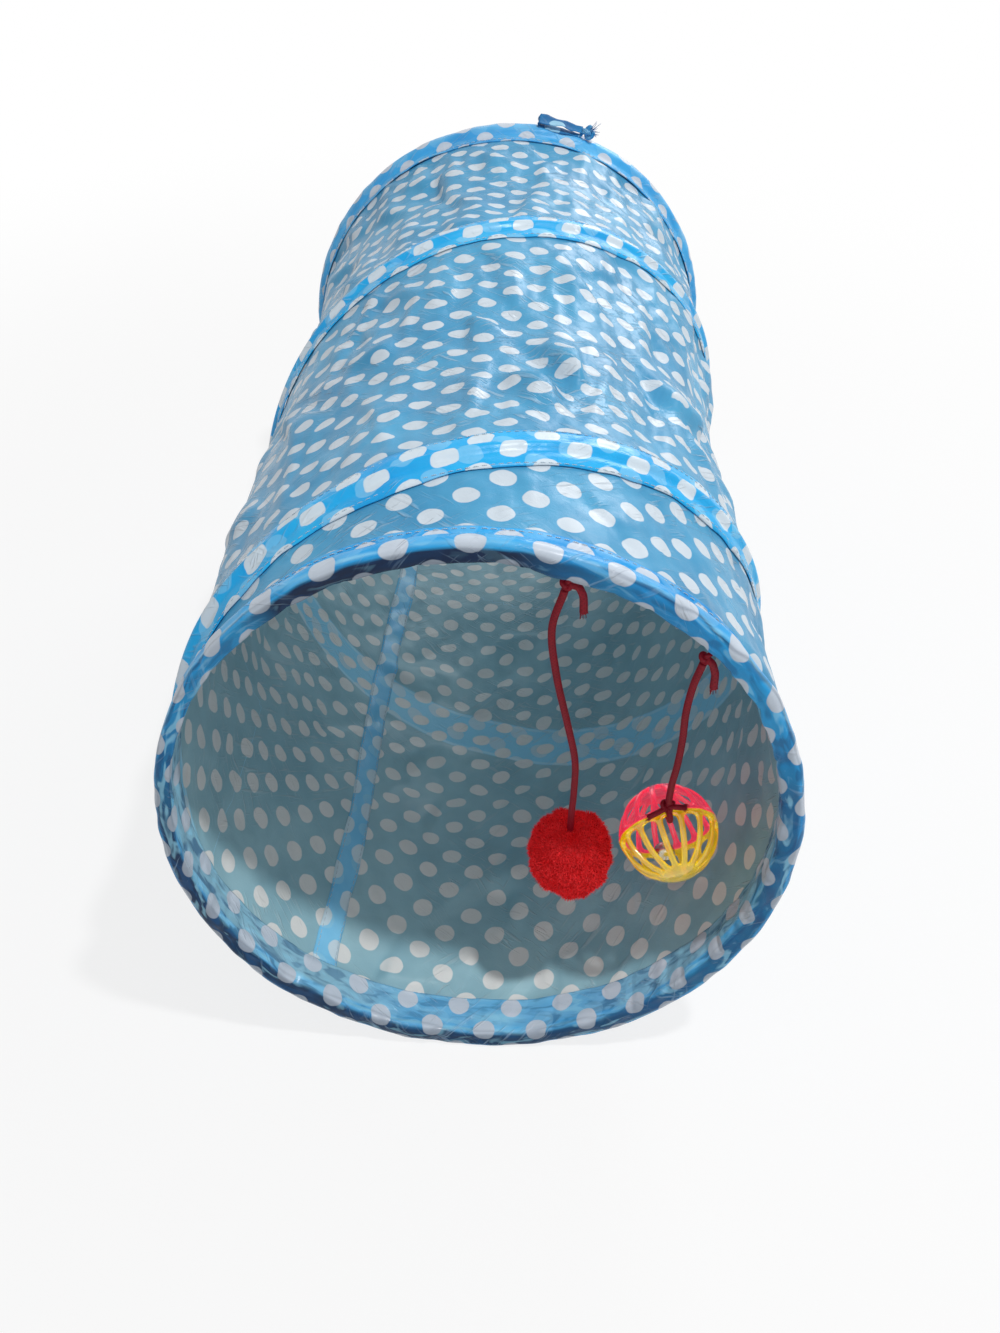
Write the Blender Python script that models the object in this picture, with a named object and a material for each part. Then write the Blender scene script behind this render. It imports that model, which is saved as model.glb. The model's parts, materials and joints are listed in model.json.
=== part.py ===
"""Pop-up cat tunnel: a cloth cylinder held open by one helical spring wire, with two hanging toys.

Metres, +Z up. The tunnel lies along +Y, its front opening faces -Y, and it rests on the floor.
Points on the cloth are named by an angle from the top (clockwise seen from the front), a distance
behind the front wire and a lift off the cloth.
"""
import math
import random

import bmesh
import bpy
from mathutils import Matrix, Vector

# Driving dimensions of the tunnel
TUBE_RADIUS = 0.1204
LENGTH = 0.420
SIDES = 40
ROWS = 15
FABRIC = 0.0006
CLEAR = 0.0003
SLACK_DEPTH = 0.0065
LEAN_FRONT = math.radians(11.1)
LEAN_REAR = math.radians(0.6)
TURN_REAR = math.radians(4.6)

# Spring wire and the sleeves that join it to the hoops
WIRE = 0.0016
FERRULE_WALL = 0.0006
FERRULE_LENGTH = 0.015
FERRULE_SIDES = 12
COIL_TURNS = 2
WIRE_SIDES = 6
WAY_STEPS = 6
COIL_START_ANGLE = math.radians(-108)
CASING_FLANGE = 0.0080

# Hems round the two openings
HEM_FLANGE = 0.0080
HEM_RAMP = 0.0023
HEM_FOLD = 0.0005
HEM_SLACK = 0.0028
HEM_BACK = 0.0110

# Felled seam along the inside
SEAM_ANGLE = math.radians(214)
SEAM_WIDTH = 0.0120

# Elastic cords, their knots and where they hang
CORD = 0.0028
CORD_STEP = 2.5 * CORD
CORD_SIDES = 8
ROUTE_PARTS = 20
KNOT = 0.0052
KNOT_ROWS = 6
KNOT_SIDES = 10
TAIL_LENGTH = 0.0120
TAIL_INSIDE = 0.0006
TAIL_LEAN = 0.0010
STOPPER = 0.0042
STOPPER_HEIGHT = 0.0030
STOPPER_ROWS = 6
HOLE_CLEAR = 0.0003
TOY_ALONG = 0.0010
POMPOM_ANGLE = math.radians(15)
BALL_ANGLE = math.radians(43.5)

# Pompom
POMPOM_WIDTH = 0.0365
POMPOM_HEIGHT = 0.0440
POMPOM_BORE_DEPTH = 0.0120
POMPOM_TUFT = 0.0005
POMPOM_ASIDE = 0.0010

# Lattice ball
BALL_RADIUS = 0.0206
BALL_WALL = 0.0018
BALL_BEAD = 0.0006
BALL_BEAD_HALF = 0.0016
RIBS = 14
RIB_WIDTH = 0.0024
WINDOW_TIP = 0.0014
BALL_AXIS = Vector((0.20, -0.966, -0.164)).normalized()
TIE_CORD = 0.0026
TIE_LEFT_END = 0.0085
TIE_RIGHT_END = 0.0068
TIED_TURN = math.radians(10)

# Jingle bell inside the ball
BELL_RADIUS = 0.0043
BELL_WALL = 0.0004
BELL_ROWS = 4
BELL_SIDES = 16
BELL_SLOT = 0.0010
BELL_SLOT_LENGTH = 0.0069
BELL_SLOT_TOP = 0.0017
BELL_LOOP = 0.0013
BELL_LOOP_SUNK = 0.0003
BELL_LOOP_WIRE = 0.0007
PELLET_RADIUS = 0.0013

# Tie loop on the rear rim
TIE_ANGLE = math.radians(13.5)
TIE_LENGTH = 0.0260
TIE_WIDTH = 0.0080
TIE_STRAP = 0.0008
TIE_OPENING = 0.0030
TIE_BEND_PARTS = 6
TIE_KNOT = 0.0072
TIE_KNOT_RISE = 0.0023
TIE_KNOT_STRETCH = Vector((1.0, 1.15, 0.85))

# Sizes that follow from those above
STEP = 2 * math.pi / SIDES
FLANGE_LIFT = CLEAR + FABRIC / 2
FERRULE_HALF = WIRE / 2 + CLEAR + FERRULE_WALL
WIRE_LIFT = CLEAR + FERRULE_HALF
WIRE_SPACING = WIRE + CLEAR
RIDGE_LIFT = WIRE_LIFT + FERRULE_HALF + CLEAR + FABRIC / 2
REST_LIFT = RIDGE_LIFT + FABRIC / 2
INNER_LIFT = -FABRIC - FLANGE_LIFT
FOLD_LIFT = -HEM_SLACK
RIDGE_FRONT = -(WIRE / 2 + CLEAR + FERRULE_WALL + CLEAR + FABRIC)
RIDGE_REAR = WIRE_SPACING - RIDGE_FRONT
HEM_FRONT = RIDGE_FRONT - HEM_FOLD
RAMP_END = RIDGE_REAR + HEM_RAMP
HEM_EDGE = RAMP_END + HEM_FLANGE
PITCH = LENGTH / COIL_TURNS
PITCH_SLOPE = PITCH / (2 * math.pi * (TUBE_RADIUS + WIRE_LIFT))
CASING_RIDGE = WIRE_LIFT + WIRE / 2 + CLEAR + FABRIC / 2
CASING_CREST = WIRE / 2 + CLEAR + FABRIC
CASING_FOOT = CASING_CREST + CASING_RIDGE - FLANGE_LIFT
CASING_HALF = CASING_FOOT + CASING_FLANGE
HELD = CASING_HALF + LENGTH / ROWS
OVER_HEM_LIFT = FLANGE_LIFT + FABRIC + CLEAR
KNOT_LIFT = FOLD_LIFT - FABRIC / 2 - CLEAR - CLEAR - KNOT / 2
FLOOR = (TUBE_RADIUS + REST_LIFT) * math.cos(STEP)

# Routes of the two cords: how far right of the knot and how far below it each point lies
POMPOM_ROUTE = ((-0.0008, 0.004), (-0.0042, 0.021), (-0.0015, 0.0445), (0.0037, 0.070),
                (0.0075, 0.0905), (0.0081, 0.109), (0.0079, 0.1245), (0.0079, 0.1315))
POMPOM_DROP = 0.1525
BALL_ROUTE = ((-0.0006, 0.004), (-0.0024, 0.0145), (-0.0031, 0.0285), (-0.0025, 0.043),
              (-0.0026, 0.0575), (-0.0033, 0.070), (-0.0033, 0.0805))


def clear_scene():
    for thing in list(bpy.data.objects):
        bpy.data.objects.remove(thing, do_unlink=True)


def make_material(name, colour, roughness, metallic=0.0, alpha=1.0):
    material = bpy.data.materials.new(name)
    material.use_nodes = True
    shader = material.node_tree.nodes["Principled BSDF"]
    shader.inputs["Base Color"].default_value = (*colour, 1.0)
    shader.inputs["Roughness"].default_value = roughness
    shader.inputs["Metallic"].default_value = metallic
    shader.inputs["Alpha"].default_value = alpha
    material.diffuse_color = (*colour, alpha)
    return material


# Points on and near the cloth

def wall_point(angle, along, lift):
    """The cloth is a many-sided tube, flat over the two lowest sides, cut aslant at its ends."""
    corner = TUBE_RADIUS + lift
    radius = corner * math.cos(STEP / 2) / math.cos(angle % STEP - STEP / 2)
    right = radius * math.sin(angle)
    up = max(radius * math.cos(angle), -corner * math.cos(STEP))
    share = min(max(along / LENGTH, 0.0), 1.0)
    lean = math.tan(LEAN_FRONT) * (1 - share) + math.tan(LEAN_REAR) * share
    turn = math.tan(TURN_REAR) * share
    return Vector((right, along + lean * up + turn * right, up))


def outward(angle):
    return Vector((math.sin(angle), 0.0, math.cos(angle)))


def coil_along(turned):
    """Distance behind the front wire of the spring wire, after it has turned by this angle."""
    steady = PITCH * turned / (2 * math.pi)
    return min(max(steady, WIRE_SPACING), LENGTH - WIRE_SPACING)


def slack(angle, along):
    """How far the cloth sags inward between the wires on either side of this point."""
    offset = (angle - COIL_START_ANGLE) % (2 * math.pi) / (2 * math.pi) * PITCH
    wires = [0.0] + [offset + turn * PITCH for turn in range(COIL_TURNS)] + [LENGTH]
    for low, high in zip(wires, wires[1:]):
        free = high - low - 2 * HELD
        if low + HELD < along < high - HELD:
            full = min(free / (PITCH - 2 * HELD), 1.0)
            return SLACK_DEPTH * full * math.sin(math.pi * (along - low - HELD) / free) ** 2
    return 0.0


def cloth_rows():
    """Distances at which the cloth's rings of points lie: its edges held in the hems, the rest evenly."""
    first, last = HEM_EDGE + CLEAR, LENGTH - HEM_EDGE - CLEAR
    inner = [first + (last - first) * row / ROWS for row in range(ROWS + 1)]
    return [RAMP_END + CLEAR] + inner + [LENGTH - RAMP_END - CLEAR]


# Mesh makers

def add_mesh(name, verts, faces, material, pivot, smooth=40):
    """One solid as an object under its pivot's empty."""
    mesh = bpy.data.meshes.new(name)
    mesh.from_pydata([Vector(v) - pivot["at"] for v in verts], [], faces)
    return add_object(name, mesh, material, pivot, smooth)


def add_object(name, mesh, material, pivot, smooth=40):
    tidy = bmesh.new()
    tidy.from_mesh(mesh)
    bmesh.ops.recalc_face_normals(tidy, faces=tidy.faces)
    if tidy.calc_volume(signed=True) < 0:
        bmesh.ops.reverse_faces(tidy, faces=tidy.faces)
    tidy.to_mesh(mesh)
    tidy.free()
    mesh.shade_smooth()
    mesh.set_sharp_from_angle(angle=math.radians(smooth))
    mesh.materials.append(material)
    thing = bpy.data.objects.new(name, mesh)
    bpy.context.collection.objects.link(thing)
    thing.parent = pivot["empty"]
    return thing


def ring_faces(count, rings, closed):
    """Quads between rings of count points each."""
    faces = []
    last = rings if closed else rings - 1
    for ring in range(last):
        here, there = ring * count, (ring + 1) % rings * count
        for k in range(count):
            after = (k + 1) % count
            faces.append((here + k, here + after, there + after, there + k))
    return faces


def sweep_loops(name, loops, closed, material, pivot):
    """A solid through loops of points; an open one gets flat ends."""
    verts = [point for loop in loops for point in loop]
    count = len(loops[0])
    faces = ring_faces(count, len(loops), closed)
    if not closed:
        faces.append(tuple(range(count)))
        faces.append(tuple(range(len(verts) - count, len(verts))))
    return add_mesh(name, verts, faces, material, pivot)


def sweep_sheet(name, stations, closed, material, pivot):
    """A thin sheet through stations, each a list of (outer point, inner point) pairs."""
    width = len(stations[0])
    verts = []
    for station in stations:
        verts += [outer for outer, inner in station]
        verts += [inner for outer, inner in reversed(station)]
    faces = ring_faces(2 * width, len(stations), closed)
    if not closed:
        for start in (0, (len(stations) - 1) * 2 * width):
            for k in range(width - 1):
                back = 2 * width - 1 - k
                faces.append((start + k, start + k + 1, start + back - 1, start + back))
    return add_mesh(name, verts, faces, material, pivot)


def sheet_pairs(middle):
    """Both sides of a bent sheet, FABRIC thick, along a middle line of (along, lift) points."""
    pairs = []
    for k, point in enumerate(middle):
        before = middle[max(k - 1, 0)]
        after = middle[min(k + 1, len(middle) - 1)]
        first = Vector((point[0] - before[0], point[1] - before[1]))
        second = Vector((after[0] - point[0], after[1] - point[1]))
        first = first.normalized() if first.length > 0 else second.normalized()
        second = second.normalized() if second.length > 0 else first
        side = Vector((-first.y - second.y, first.x + second.x)).normalized()
        reach = FABRIC / 2 / max(side.dot(Vector((-first.y, first.x))), 0.5)
        pairs.append(((point[0] + side.x * reach, point[1] + side.y * reach),
                      (point[0] - side.x * reach, point[1] - side.y * reach)))
    return pairs


def wire_loop(angle, along, lift, radius, sides=WIRE_SIDES, widen=1.0):
    """The section of a wire that crosses this angle; widen makes up for its slant."""
    return [wall_point(angle, along + widen * radius * math.cos(2 * math.pi * k / sides),
                       lift + radius * math.sin(2 * math.pi * k / sides)) for k in range(sides)]


def cut(thing, cutter):
    cutter.hide_render = True
    cutter.display_type = "WIRE"
    cutter.hide_set(True)
    modifier = thing.modifiers.new("cut_" + cutter.name, "BOOLEAN")
    modifier.operation = "DIFFERENCE"
    modifier.object = cutter


def join(thing, other):
    """Adds another solid that overlaps this one."""
    other.hide_render = True
    other.display_type = "WIRE"
    other.hide_set(True)
    modifier = thing.modifiers.new("join_" + other.name, "BOOLEAN")
    modifier.operation = "UNION"
    modifier.object = other


def lathe(name, profile, segments, material, pivot, place):
    """A solid turned about its own Z from (radius, height) points, first and last on the axis."""
    verts = [(0.0, 0.0, profile[0][1])]
    for radius, height in profile[1:-1]:
        for k in range(segments):
            around = 2 * math.pi * k / segments
            verts.append((radius * math.cos(around), radius * math.sin(around), height))
    verts.append((0.0, 0.0, profile[-1][1]))
    rings = len(profile) - 2
    faces = [tuple(1 + index for index in face) for face in ring_faces(segments, rings, False)]
    top = len(verts) - 1
    low = top - segments
    for k in range(segments):
        after = (k + 1) % segments
        faces.append((0, 1 + after, 1 + k))
        faces.append((top, low + k, low + after))
    return add_mesh(name, [place @ Vector(v) for v in verts], faces, material, pivot)


def ball_profile(radius, rows):
    return [(radius * math.sin(math.pi * k / rows), -radius * math.cos(math.pi * k / rows))
            for k in range(rows + 1)]


def torus(name, major, minor, around, sides, material, pivot, place):
    loops = []
    for k in range(around):
        turn = 2 * math.pi * k / around
        loop = []
        for j in range(sides):
            tip = 2 * math.pi * (j + 0.5) / sides
            reach = major + minor * math.cos(tip)
            loop.append(place @ Vector((reach * math.cos(turn), reach * math.sin(turn),
                                        minor * math.sin(tip))))
        loops.append(loop)
    return sweep_loops(name, loops, True, material, pivot)


def rod(name, start, end, radius, sides, material, pivot):
    """A straight round bar between two points."""
    axis = (end - start).normalized()
    turn = axis.to_track_quat("Z", "Y").to_matrix()
    loops = []
    for point in (start, end):
        loops.append([point + turn @ Vector((radius * math.cos(2 * math.pi * k / sides),
                                             radius * math.sin(2 * math.pi * k / sides), 0.0))
                      for k in range(sides)])
    return sweep_loops(name, loops, False, material, pivot)


def smooth_route(points, spacing):
    """Evenly spaced points on a smooth curve through the route's own points."""
    padded = [2 * points[0] - points[1]] + list(points) + [2 * points[-1] - points[-2]]
    fine = []
    for a, b, c, d in zip(padded, padded[1:], padded[2:], padded[3:]):
        for k in range(ROUTE_PARTS):
            t = k / ROUTE_PARTS
            fine.append(0.5 * (2 * b + (c - a) * t + (2 * a - 5 * b + 4 * c - d) * t * t
                               + (3 * b - a - 3 * c + d) * t ** 3))
    fine.append(points[-1])
    total = sum((q - p).length for p, q in zip(fine, fine[1:]))
    count = max(round(total / spacing), 2)
    chosen, walked, target = [fine[0]], 0.0, total / count
    for p, q in zip(fine, fine[1:]):
        walked += (q - p).length
        if walked >= target - 1e-9 and len(chosen) < count:
            chosen.append(q)
            target += total / count
    return chosen + [fine[-1]]


def add_cord(name, points, material, pivot):
    curve = bpy.data.curves.new(name, "CURVE")
    curve.dimensions = "3D"
    curve.bevel_depth = CORD / 2
    curve.bevel_resolution = 2
    curve.use_fill_caps = True
    spline = curve.splines.new("POLY")
    spline.points.add(len(points) - 1)
    for slot, point in zip(spline.points, points):
        slot.co = (*(point - pivot["at"]), 1.0)
    curve.materials.append(material)
    thing = bpy.data.objects.new(name, curve)
    bpy.context.collection.objects.link(thing)
    thing.parent = pivot["empty"]
    return thing


# Cloth

def build_tube(material, pivot):
    stations = []
    for k in range(SIDES):
        angle = k * STEP
        station = []
        for along in cloth_rows():
            sag = slack(angle, along)
            station.append((wall_point(angle, along, -sag),
                            wall_point(angle, along, -sag - FABRIC)))
        stations.append(station)
    sweep_sheet("fabric_tube", stations, True, material, pivot)


def build_hem(name, rear, material, pivot):
    """Flange outside, ridge over the wires, fold, slack inside layer, sewn edge inside."""
    middle = [(HEM_EDGE, FLANGE_LIFT), (RAMP_END, FLANGE_LIFT), (RIDGE_REAR, RIDGE_LIFT),
              (RIDGE_FRONT, RIDGE_LIFT), (HEM_FRONT, RIDGE_LIFT / 2), (HEM_FRONT, FOLD_LIFT / 2),
              (RIDGE_FRONT, FOLD_LIFT), (RIDGE_REAR, FOLD_LIFT), (HEM_BACK, INNER_LIFT),
              (HEM_EDGE, INNER_LIFT)]
    pairs = sheet_pairs(middle)
    stations = []
    for k in range(SIDES):
        angle = k * STEP
        station = []
        for first, second in pairs:
            if rear:
                first, second = (LENGTH - first[0], first[1]), (LENGTH - second[0], second[1])
            station.append((wall_point(angle, *first), wall_point(angle, *second)))
        stations.append(station)
    return sweep_sheet(name, stations, True, material, pivot)


def build_seam(material, pivot):
    """Double strip that closes the cylinder, inside, from hem to hem."""
    half = SEAM_WIDTH / 2 / TUBE_RADIUS
    corner = round(SEAM_ANGLE / STEP) * STEP
    angles = sorted({SEAM_ANGLE - half, corner, SEAM_ANGLE + half})
    stations = []
    for along in cloth_rows()[1:-1]:
        station = []
        for angle in angles:
            lift = -slack(angle, along) - FABRIC - CLEAR
            station.append((wall_point(angle, along, lift),
                            wall_point(angle, along, lift - 2 * FABRIC)))
        stations.append(station)
    sweep_sheet("seam_tape", stations, False, material, pivot)


def casing_middle(along):
    """The strip over the wire; a foot that comes near a hem rides up over it."""
    near = HEM_EDGE + CLEAR + PITCH / SIDES
    front, front_foot = along - CASING_HALF, along - CASING_FOOT
    rear, rear_foot = along + CASING_HALF, along + CASING_FOOT
    front_high = front < near or front_foot > LENGTH - near
    rear_high = rear_foot < near or rear > LENGTH - near
    front_lift = OVER_HEM_LIFT if front_high else FLANGE_LIFT
    rear_lift = OVER_HEM_LIFT if rear_high else FLANGE_LIFT
    front = max(front, RAMP_END + CLEAR)
    rear = min(rear, LENGTH - RAMP_END - CLEAR)
    front_foot = max(front_foot, front + CLEAR)
    rear_foot = min(rear_foot, rear - CLEAR)
    return [(rear, rear_lift), (rear_foot, rear_lift), (along + CASING_CREST, CASING_RIDGE),
            (along - CASING_CREST, CASING_RIDGE), (front_foot, front_lift), (front, front_lift)]


def coil_stations():
    """Angles turned by the coil, one at each corner of the cloth."""
    return [k * STEP for k in range(COIL_TURNS * SIDES + 1)]


def build_casing(material, pivot):
    first_turned = 2 * math.pi * (RAMP_END + CASING_CREST + 2 * CLEAR) / PITCH
    last_turned = COIL_TURNS * 2 * math.pi - first_turned
    between = [turned for turned in coil_stations() if first_turned < turned < last_turned]
    stations = []
    for turned in [first_turned] + between + [last_turned]:
        along = coil_along(turned)
        stations.append([(wall_point(COIL_START_ANGLE + turned, *first),
                          wall_point(COIL_START_ANGLE + turned, *second))
                         for first, second in sheet_pairs(casing_middle(along))])
    sweep_sheet("spring_casing", stations, False, material, pivot)


# Wires and sleeves

def build_hoop(name, along, material, pivot):
    loops = [wire_loop(k * STEP, along, WIRE_LIFT, WIRE / 2) for k in range(SIDES)]
    return sweep_loops(name, loops, True, material, pivot)


def coil_loops(radius, sides, turned_from, turned_to):
    widen = math.hypot(1.0, PITCH_SLOPE)
    return [wire_loop(COIL_START_ANGLE + turned, coil_along(turned), WIRE_LIFT, radius, sides,
                      widen if WIRE_SPACING < coil_along(turned) < LENGTH - WIRE_SPACING else 1.0)
            for turned in ([-STEP] + coil_stations() + [COIL_TURNS * 2 * math.pi + STEP])
            if turned_from - STEP / 2 < turned < turned_to + STEP / 2]


def build_coil(material, pivot):
    full = COIL_TURNS * 2 * math.pi
    loops = coil_loops(WIRE / 2, WIRE_SIDES, -STEP, full + STEP)
    sweep_loops("spring_coil", loops, False, material, pivot)
    path = [wall_point(COIL_START_ANGLE + turned, coil_along(turned), WIRE_LIFT)
            for turned in coil_stations()]
    gaps = [(path[k] - path[j]).length - WIRE
            for k in range(len(path)) for j in range(k + SIDES // 2, len(path))]
    print("least gap of the spring coil to itself, mm:", round(min(gaps) * 1000, 1))


def build_ferrule(name, along, turned, material, pivot):
    """A flat oval sleeve, crimped round the hoop and the end of the coil."""
    middle = COIL_START_ANGLE + turned
    half = FERRULE_LENGTH / 2 / (TUBE_RADIUS + WIRE_LIFT)
    loops = []
    for angle, wall in ((middle - half, FERRULE_WALL), (middle + half, FERRULE_WALL),
                        (middle + half, 0.0), (middle - half, 0.0)):
        radius = WIRE / 2 + CLEAR + wall
        loop = []
        for k in range(FERRULE_SIDES):
            tip = 2 * math.pi * (k + 0.5) / FERRULE_SIDES
            side = math.copysign(WIRE_SPACING / 2, math.cos(tip))
            loop.append(wall_point(angle, along + side + radius * math.cos(tip),
                                   WIRE_LIFT + radius * math.sin(tip)))
        loops.append(loop)
    sweep_loops(name, loops, True, material, pivot)


# Toys

def knot_point(angle):
    return wall_point(angle, TOY_ALONG, KNOT_LIFT)


def radial_frame(angle, lift):
    """A frame at the toys' distance whose Z points outward through the cloth."""
    turn = outward(angle).to_track_quat("Z", "Y").to_matrix().to_4x4()
    return Matrix.Translation(wall_point(angle, TOY_ALONG, lift)) @ turn


def build_anchor(name, angle, hem, cord, pivot):
    """A flattened stopper knot in the hem's fold, its neck through a hole in the inside layer."""
    centre = (FOLD_LIFT + FABRIC / 2 + CLEAR) + STOPPER_HEIGHT / 2
    neck_end = FOLD_LIFT - FABRIC / 2 - CLEAR
    frame = radial_frame(angle, 0.0)
    neck_tip = math.asin(min(CORD / STOPPER, 1.0))
    tips = [(math.pi - neck_tip) * k / (STOPPER_ROWS - 1) for k in range(STOPPER_ROWS)]
    profile = [(STOPPER / 2 * math.sin(tip), centre + STOPPER_HEIGHT / 2 * math.cos(tip))
               for tip in tips]
    profile += [(CORD / 2, neck_end), (0.0, neck_end)]
    anchor = lathe(name, profile, KNOT_SIDES, cord, pivot, frame)
    hole = [(0.0, FOLD_LIFT + FABRIC), (CORD / 2 + HOLE_CLEAR, FOLD_LIFT + FABRIC),
            (CORD / 2 + HOLE_CLEAR, FOLD_LIFT - FABRIC), (0.0, FOLD_LIFT - FABRIC)]
    cut(hem, lathe(name + "_hole", hole, KNOT_SIDES, cord, pivot, frame))
    return anchor


def build_rim_knot(name, angle, pivot, cord):
    """The knot that a cord hangs from, with its cut tail beside it."""
    centre = pivot["at"]
    profile = ball_profile(KNOT / 2, KNOT_ROWS)
    knot = lathe(name, profile, KNOT_SIDES, cord, pivot, Matrix.Translation(centre))
    beside = Vector((math.cos(angle), 0.0, -math.sin(angle)))
    elbow = centre + beside * (KNOT / 2 + CORD)
    bend = elbow + Vector((TAIL_LEAN, 0.0, -CORD))
    end = elbow + Vector((TAIL_LEAN, 0.0, -TAIL_LENGTH))
    route = smooth_route([centre + beside * TAIL_INSIDE, elbow, bend, end], CORD)
    loops = []
    for k, point in enumerate(route):
        ahead = route[min(k + 1, len(route) - 1)] - route[max(k - 1, 0)]
        turn = ahead.normalized().to_track_quat("Z", "Y").to_matrix()
        tips = [2 * math.pi * j / CORD_SIDES for j in range(CORD_SIDES)]
        loops.append([point + turn @ Vector((CORD / 2 * math.cos(tip), CORD / 2 * math.sin(tip), 0.0))
                      for tip in tips])
    join(knot, sweep_loops(name + "_tail", loops, False, cord, pivot))


def hung_points(pivot, route):
    """The route's points in space, the first one just below the rim knot."""
    points = [pivot["at"] + Vector((right, 0.0, -down)) for right, down in route]
    points[0] = pivot["at"] + (points[0] - pivot["at"]).normalized() * (KNOT / 2 + CLEAR)
    return points


def build_pompom(material, cord, pivot):
    centre = pivot["at"] + Vector((POMPOM_ROUTE[-1][0] + POMPOM_ASIDE, 0.0, -POMPOM_DROP))
    mesh = bpy.data.meshes.new("pompom")
    tufts = bmesh.new()
    bmesh.ops.create_icosphere(tufts, subdivisions=3, radius=1.0)
    rng = random.Random(4)
    for vert in tufts.verts:
        bump = rng.uniform(-POMPOM_TUFT, POMPOM_TUFT)
        wide, high = POMPOM_WIDTH / 2 + bump, POMPOM_HEIGHT / 2 + bump
        vert.co = Vector((vert.co.x * wide, vert.co.y * wide, vert.co.z * high)) + centre - pivot["at"]
    tufts.to_mesh(mesh)
    tufts.free()
    pompom = add_object("pompom", mesh, material, pivot, smooth=180)
    top = centre + Vector((0.0, 0.0, POMPOM_HEIGHT / 2))
    floor_of_bore = top - Vector((POMPOM_ASIDE, 0.0, POMPOM_BORE_DEPTH))
    mouth = floor_of_bore + Vector((0.0, 0.0, 2 * POMPOM_BORE_DEPTH))
    bore = rod("pompom_bore", floor_of_bore, mouth, CORD / 2 + CLEAR, CORD_SIDES, material, pivot)
    cut(pompom, bore)
    points = hung_points(pivot, POMPOM_ROUTE)
    points.append(floor_of_bore + Vector((0.0, 0.0, CLEAR)))
    add_cord("pompom_cord", smooth_route(points, CORD_STEP), cord, pivot)


def ball_frame(centre):
    """Z along the ball's axis to its yellow pole, X to the tied point, left of the equator's top."""
    up = Vector((0.0, 0.0, 1.0))
    top = (up - up.dot(BALL_AXIS) * BALL_AXIS).normalized()
    tied = math.cos(TIED_TURN) * top + math.sin(TIED_TURN) * BALL_AXIS.cross(top)
    side = BALL_AXIS.cross(tied)
    turn = Matrix((tied, side, BALL_AXIS)).transposed().to_4x4()
    return Matrix.Translation(centre) @ turn


def lattice_half(name, sign, frame, material, pivot):
    """Half of a hollow ball: a beaded rim at the equator, meridian ribs and a solid cap."""
    rim = BALL_BEAD_HALF / BALL_RADIUS
    cap = math.acos(min(RIBS * (RIB_WIDTH + WINDOW_TIP) / (2 * math.pi * BALL_RADIUS), 1.0))
    open_rows = 4
    latitudes = [0.0, rim] + [rim + (cap - rim) * k / open_rows for k in range(1, open_rows + 1)]
    latitudes += [(cap + math.pi / 2) / 2]
    verts = []
    for skin in (0, 1):
        for row, latitude in enumerate(latitudes):
            radius = BALL_RADIUS - skin * BALL_WALL
            if skin == 0 and row < 2:
                radius += BALL_BEAD
            level = max(radius * math.sin(latitude), CLEAR / 2)
            reach = math.sqrt(radius ** 2 - level ** 2)
            half = RIB_WIDTH / 2 / reach if row < len(latitudes) - 1 else math.pi / RIBS / 2
            for rib in range(RIBS):
                middle = 2 * math.pi * (rib + 0.5) / RIBS
                for turn in (middle - half, middle + half):
                    verts.append(frame @ Vector((reach * math.cos(turn), reach * math.sin(turn),
                                                 sign * level)))
    rows, across = len(latitudes), 2 * RIBS
    pole = len(verts)
    verts.append(frame @ Vector((0.0, 0.0, sign * BALL_RADIUS)))
    verts.append(frame @ Vector((0.0, 0.0, sign * (BALL_RADIUS - BALL_WALL))))

    def spot(skin, row, column):
        return skin * rows * across + row * across + column % across

    faces = []
    for column in range(across):
        for row in range(rows - 1):
            window = column % 2 == 1 and 1 <= row <= open_rows
            if not window:
                for skin in (0, 1):
                    faces.append((spot(skin, row, column), spot(skin, row, column + 1),
                                  spot(skin, row + 1, column + 1), spot(skin, row + 1, column)))
            elif row >= 1:
                for edge in (column, column + 1):
                    faces.append((spot(0, row, edge), spot(0, row + 1, edge),
                                  spot(1, row + 1, edge), spot(1, row, edge)))
        for row, needed in ((0, True), (1, column % 2 == 1), (open_rows + 1, column % 2 == 1)):
            if needed:
                faces.append((spot(0, row, column), spot(0, row, column + 1),
                              spot(1, row, column + 1), spot(1, row, column)))
        for skin in (0, 1):
            faces.append((spot(skin, rows - 1, column), spot(skin, rows - 1, column + 1), pole + skin))
    return add_mesh(name, verts, faces, material, pivot)


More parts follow.
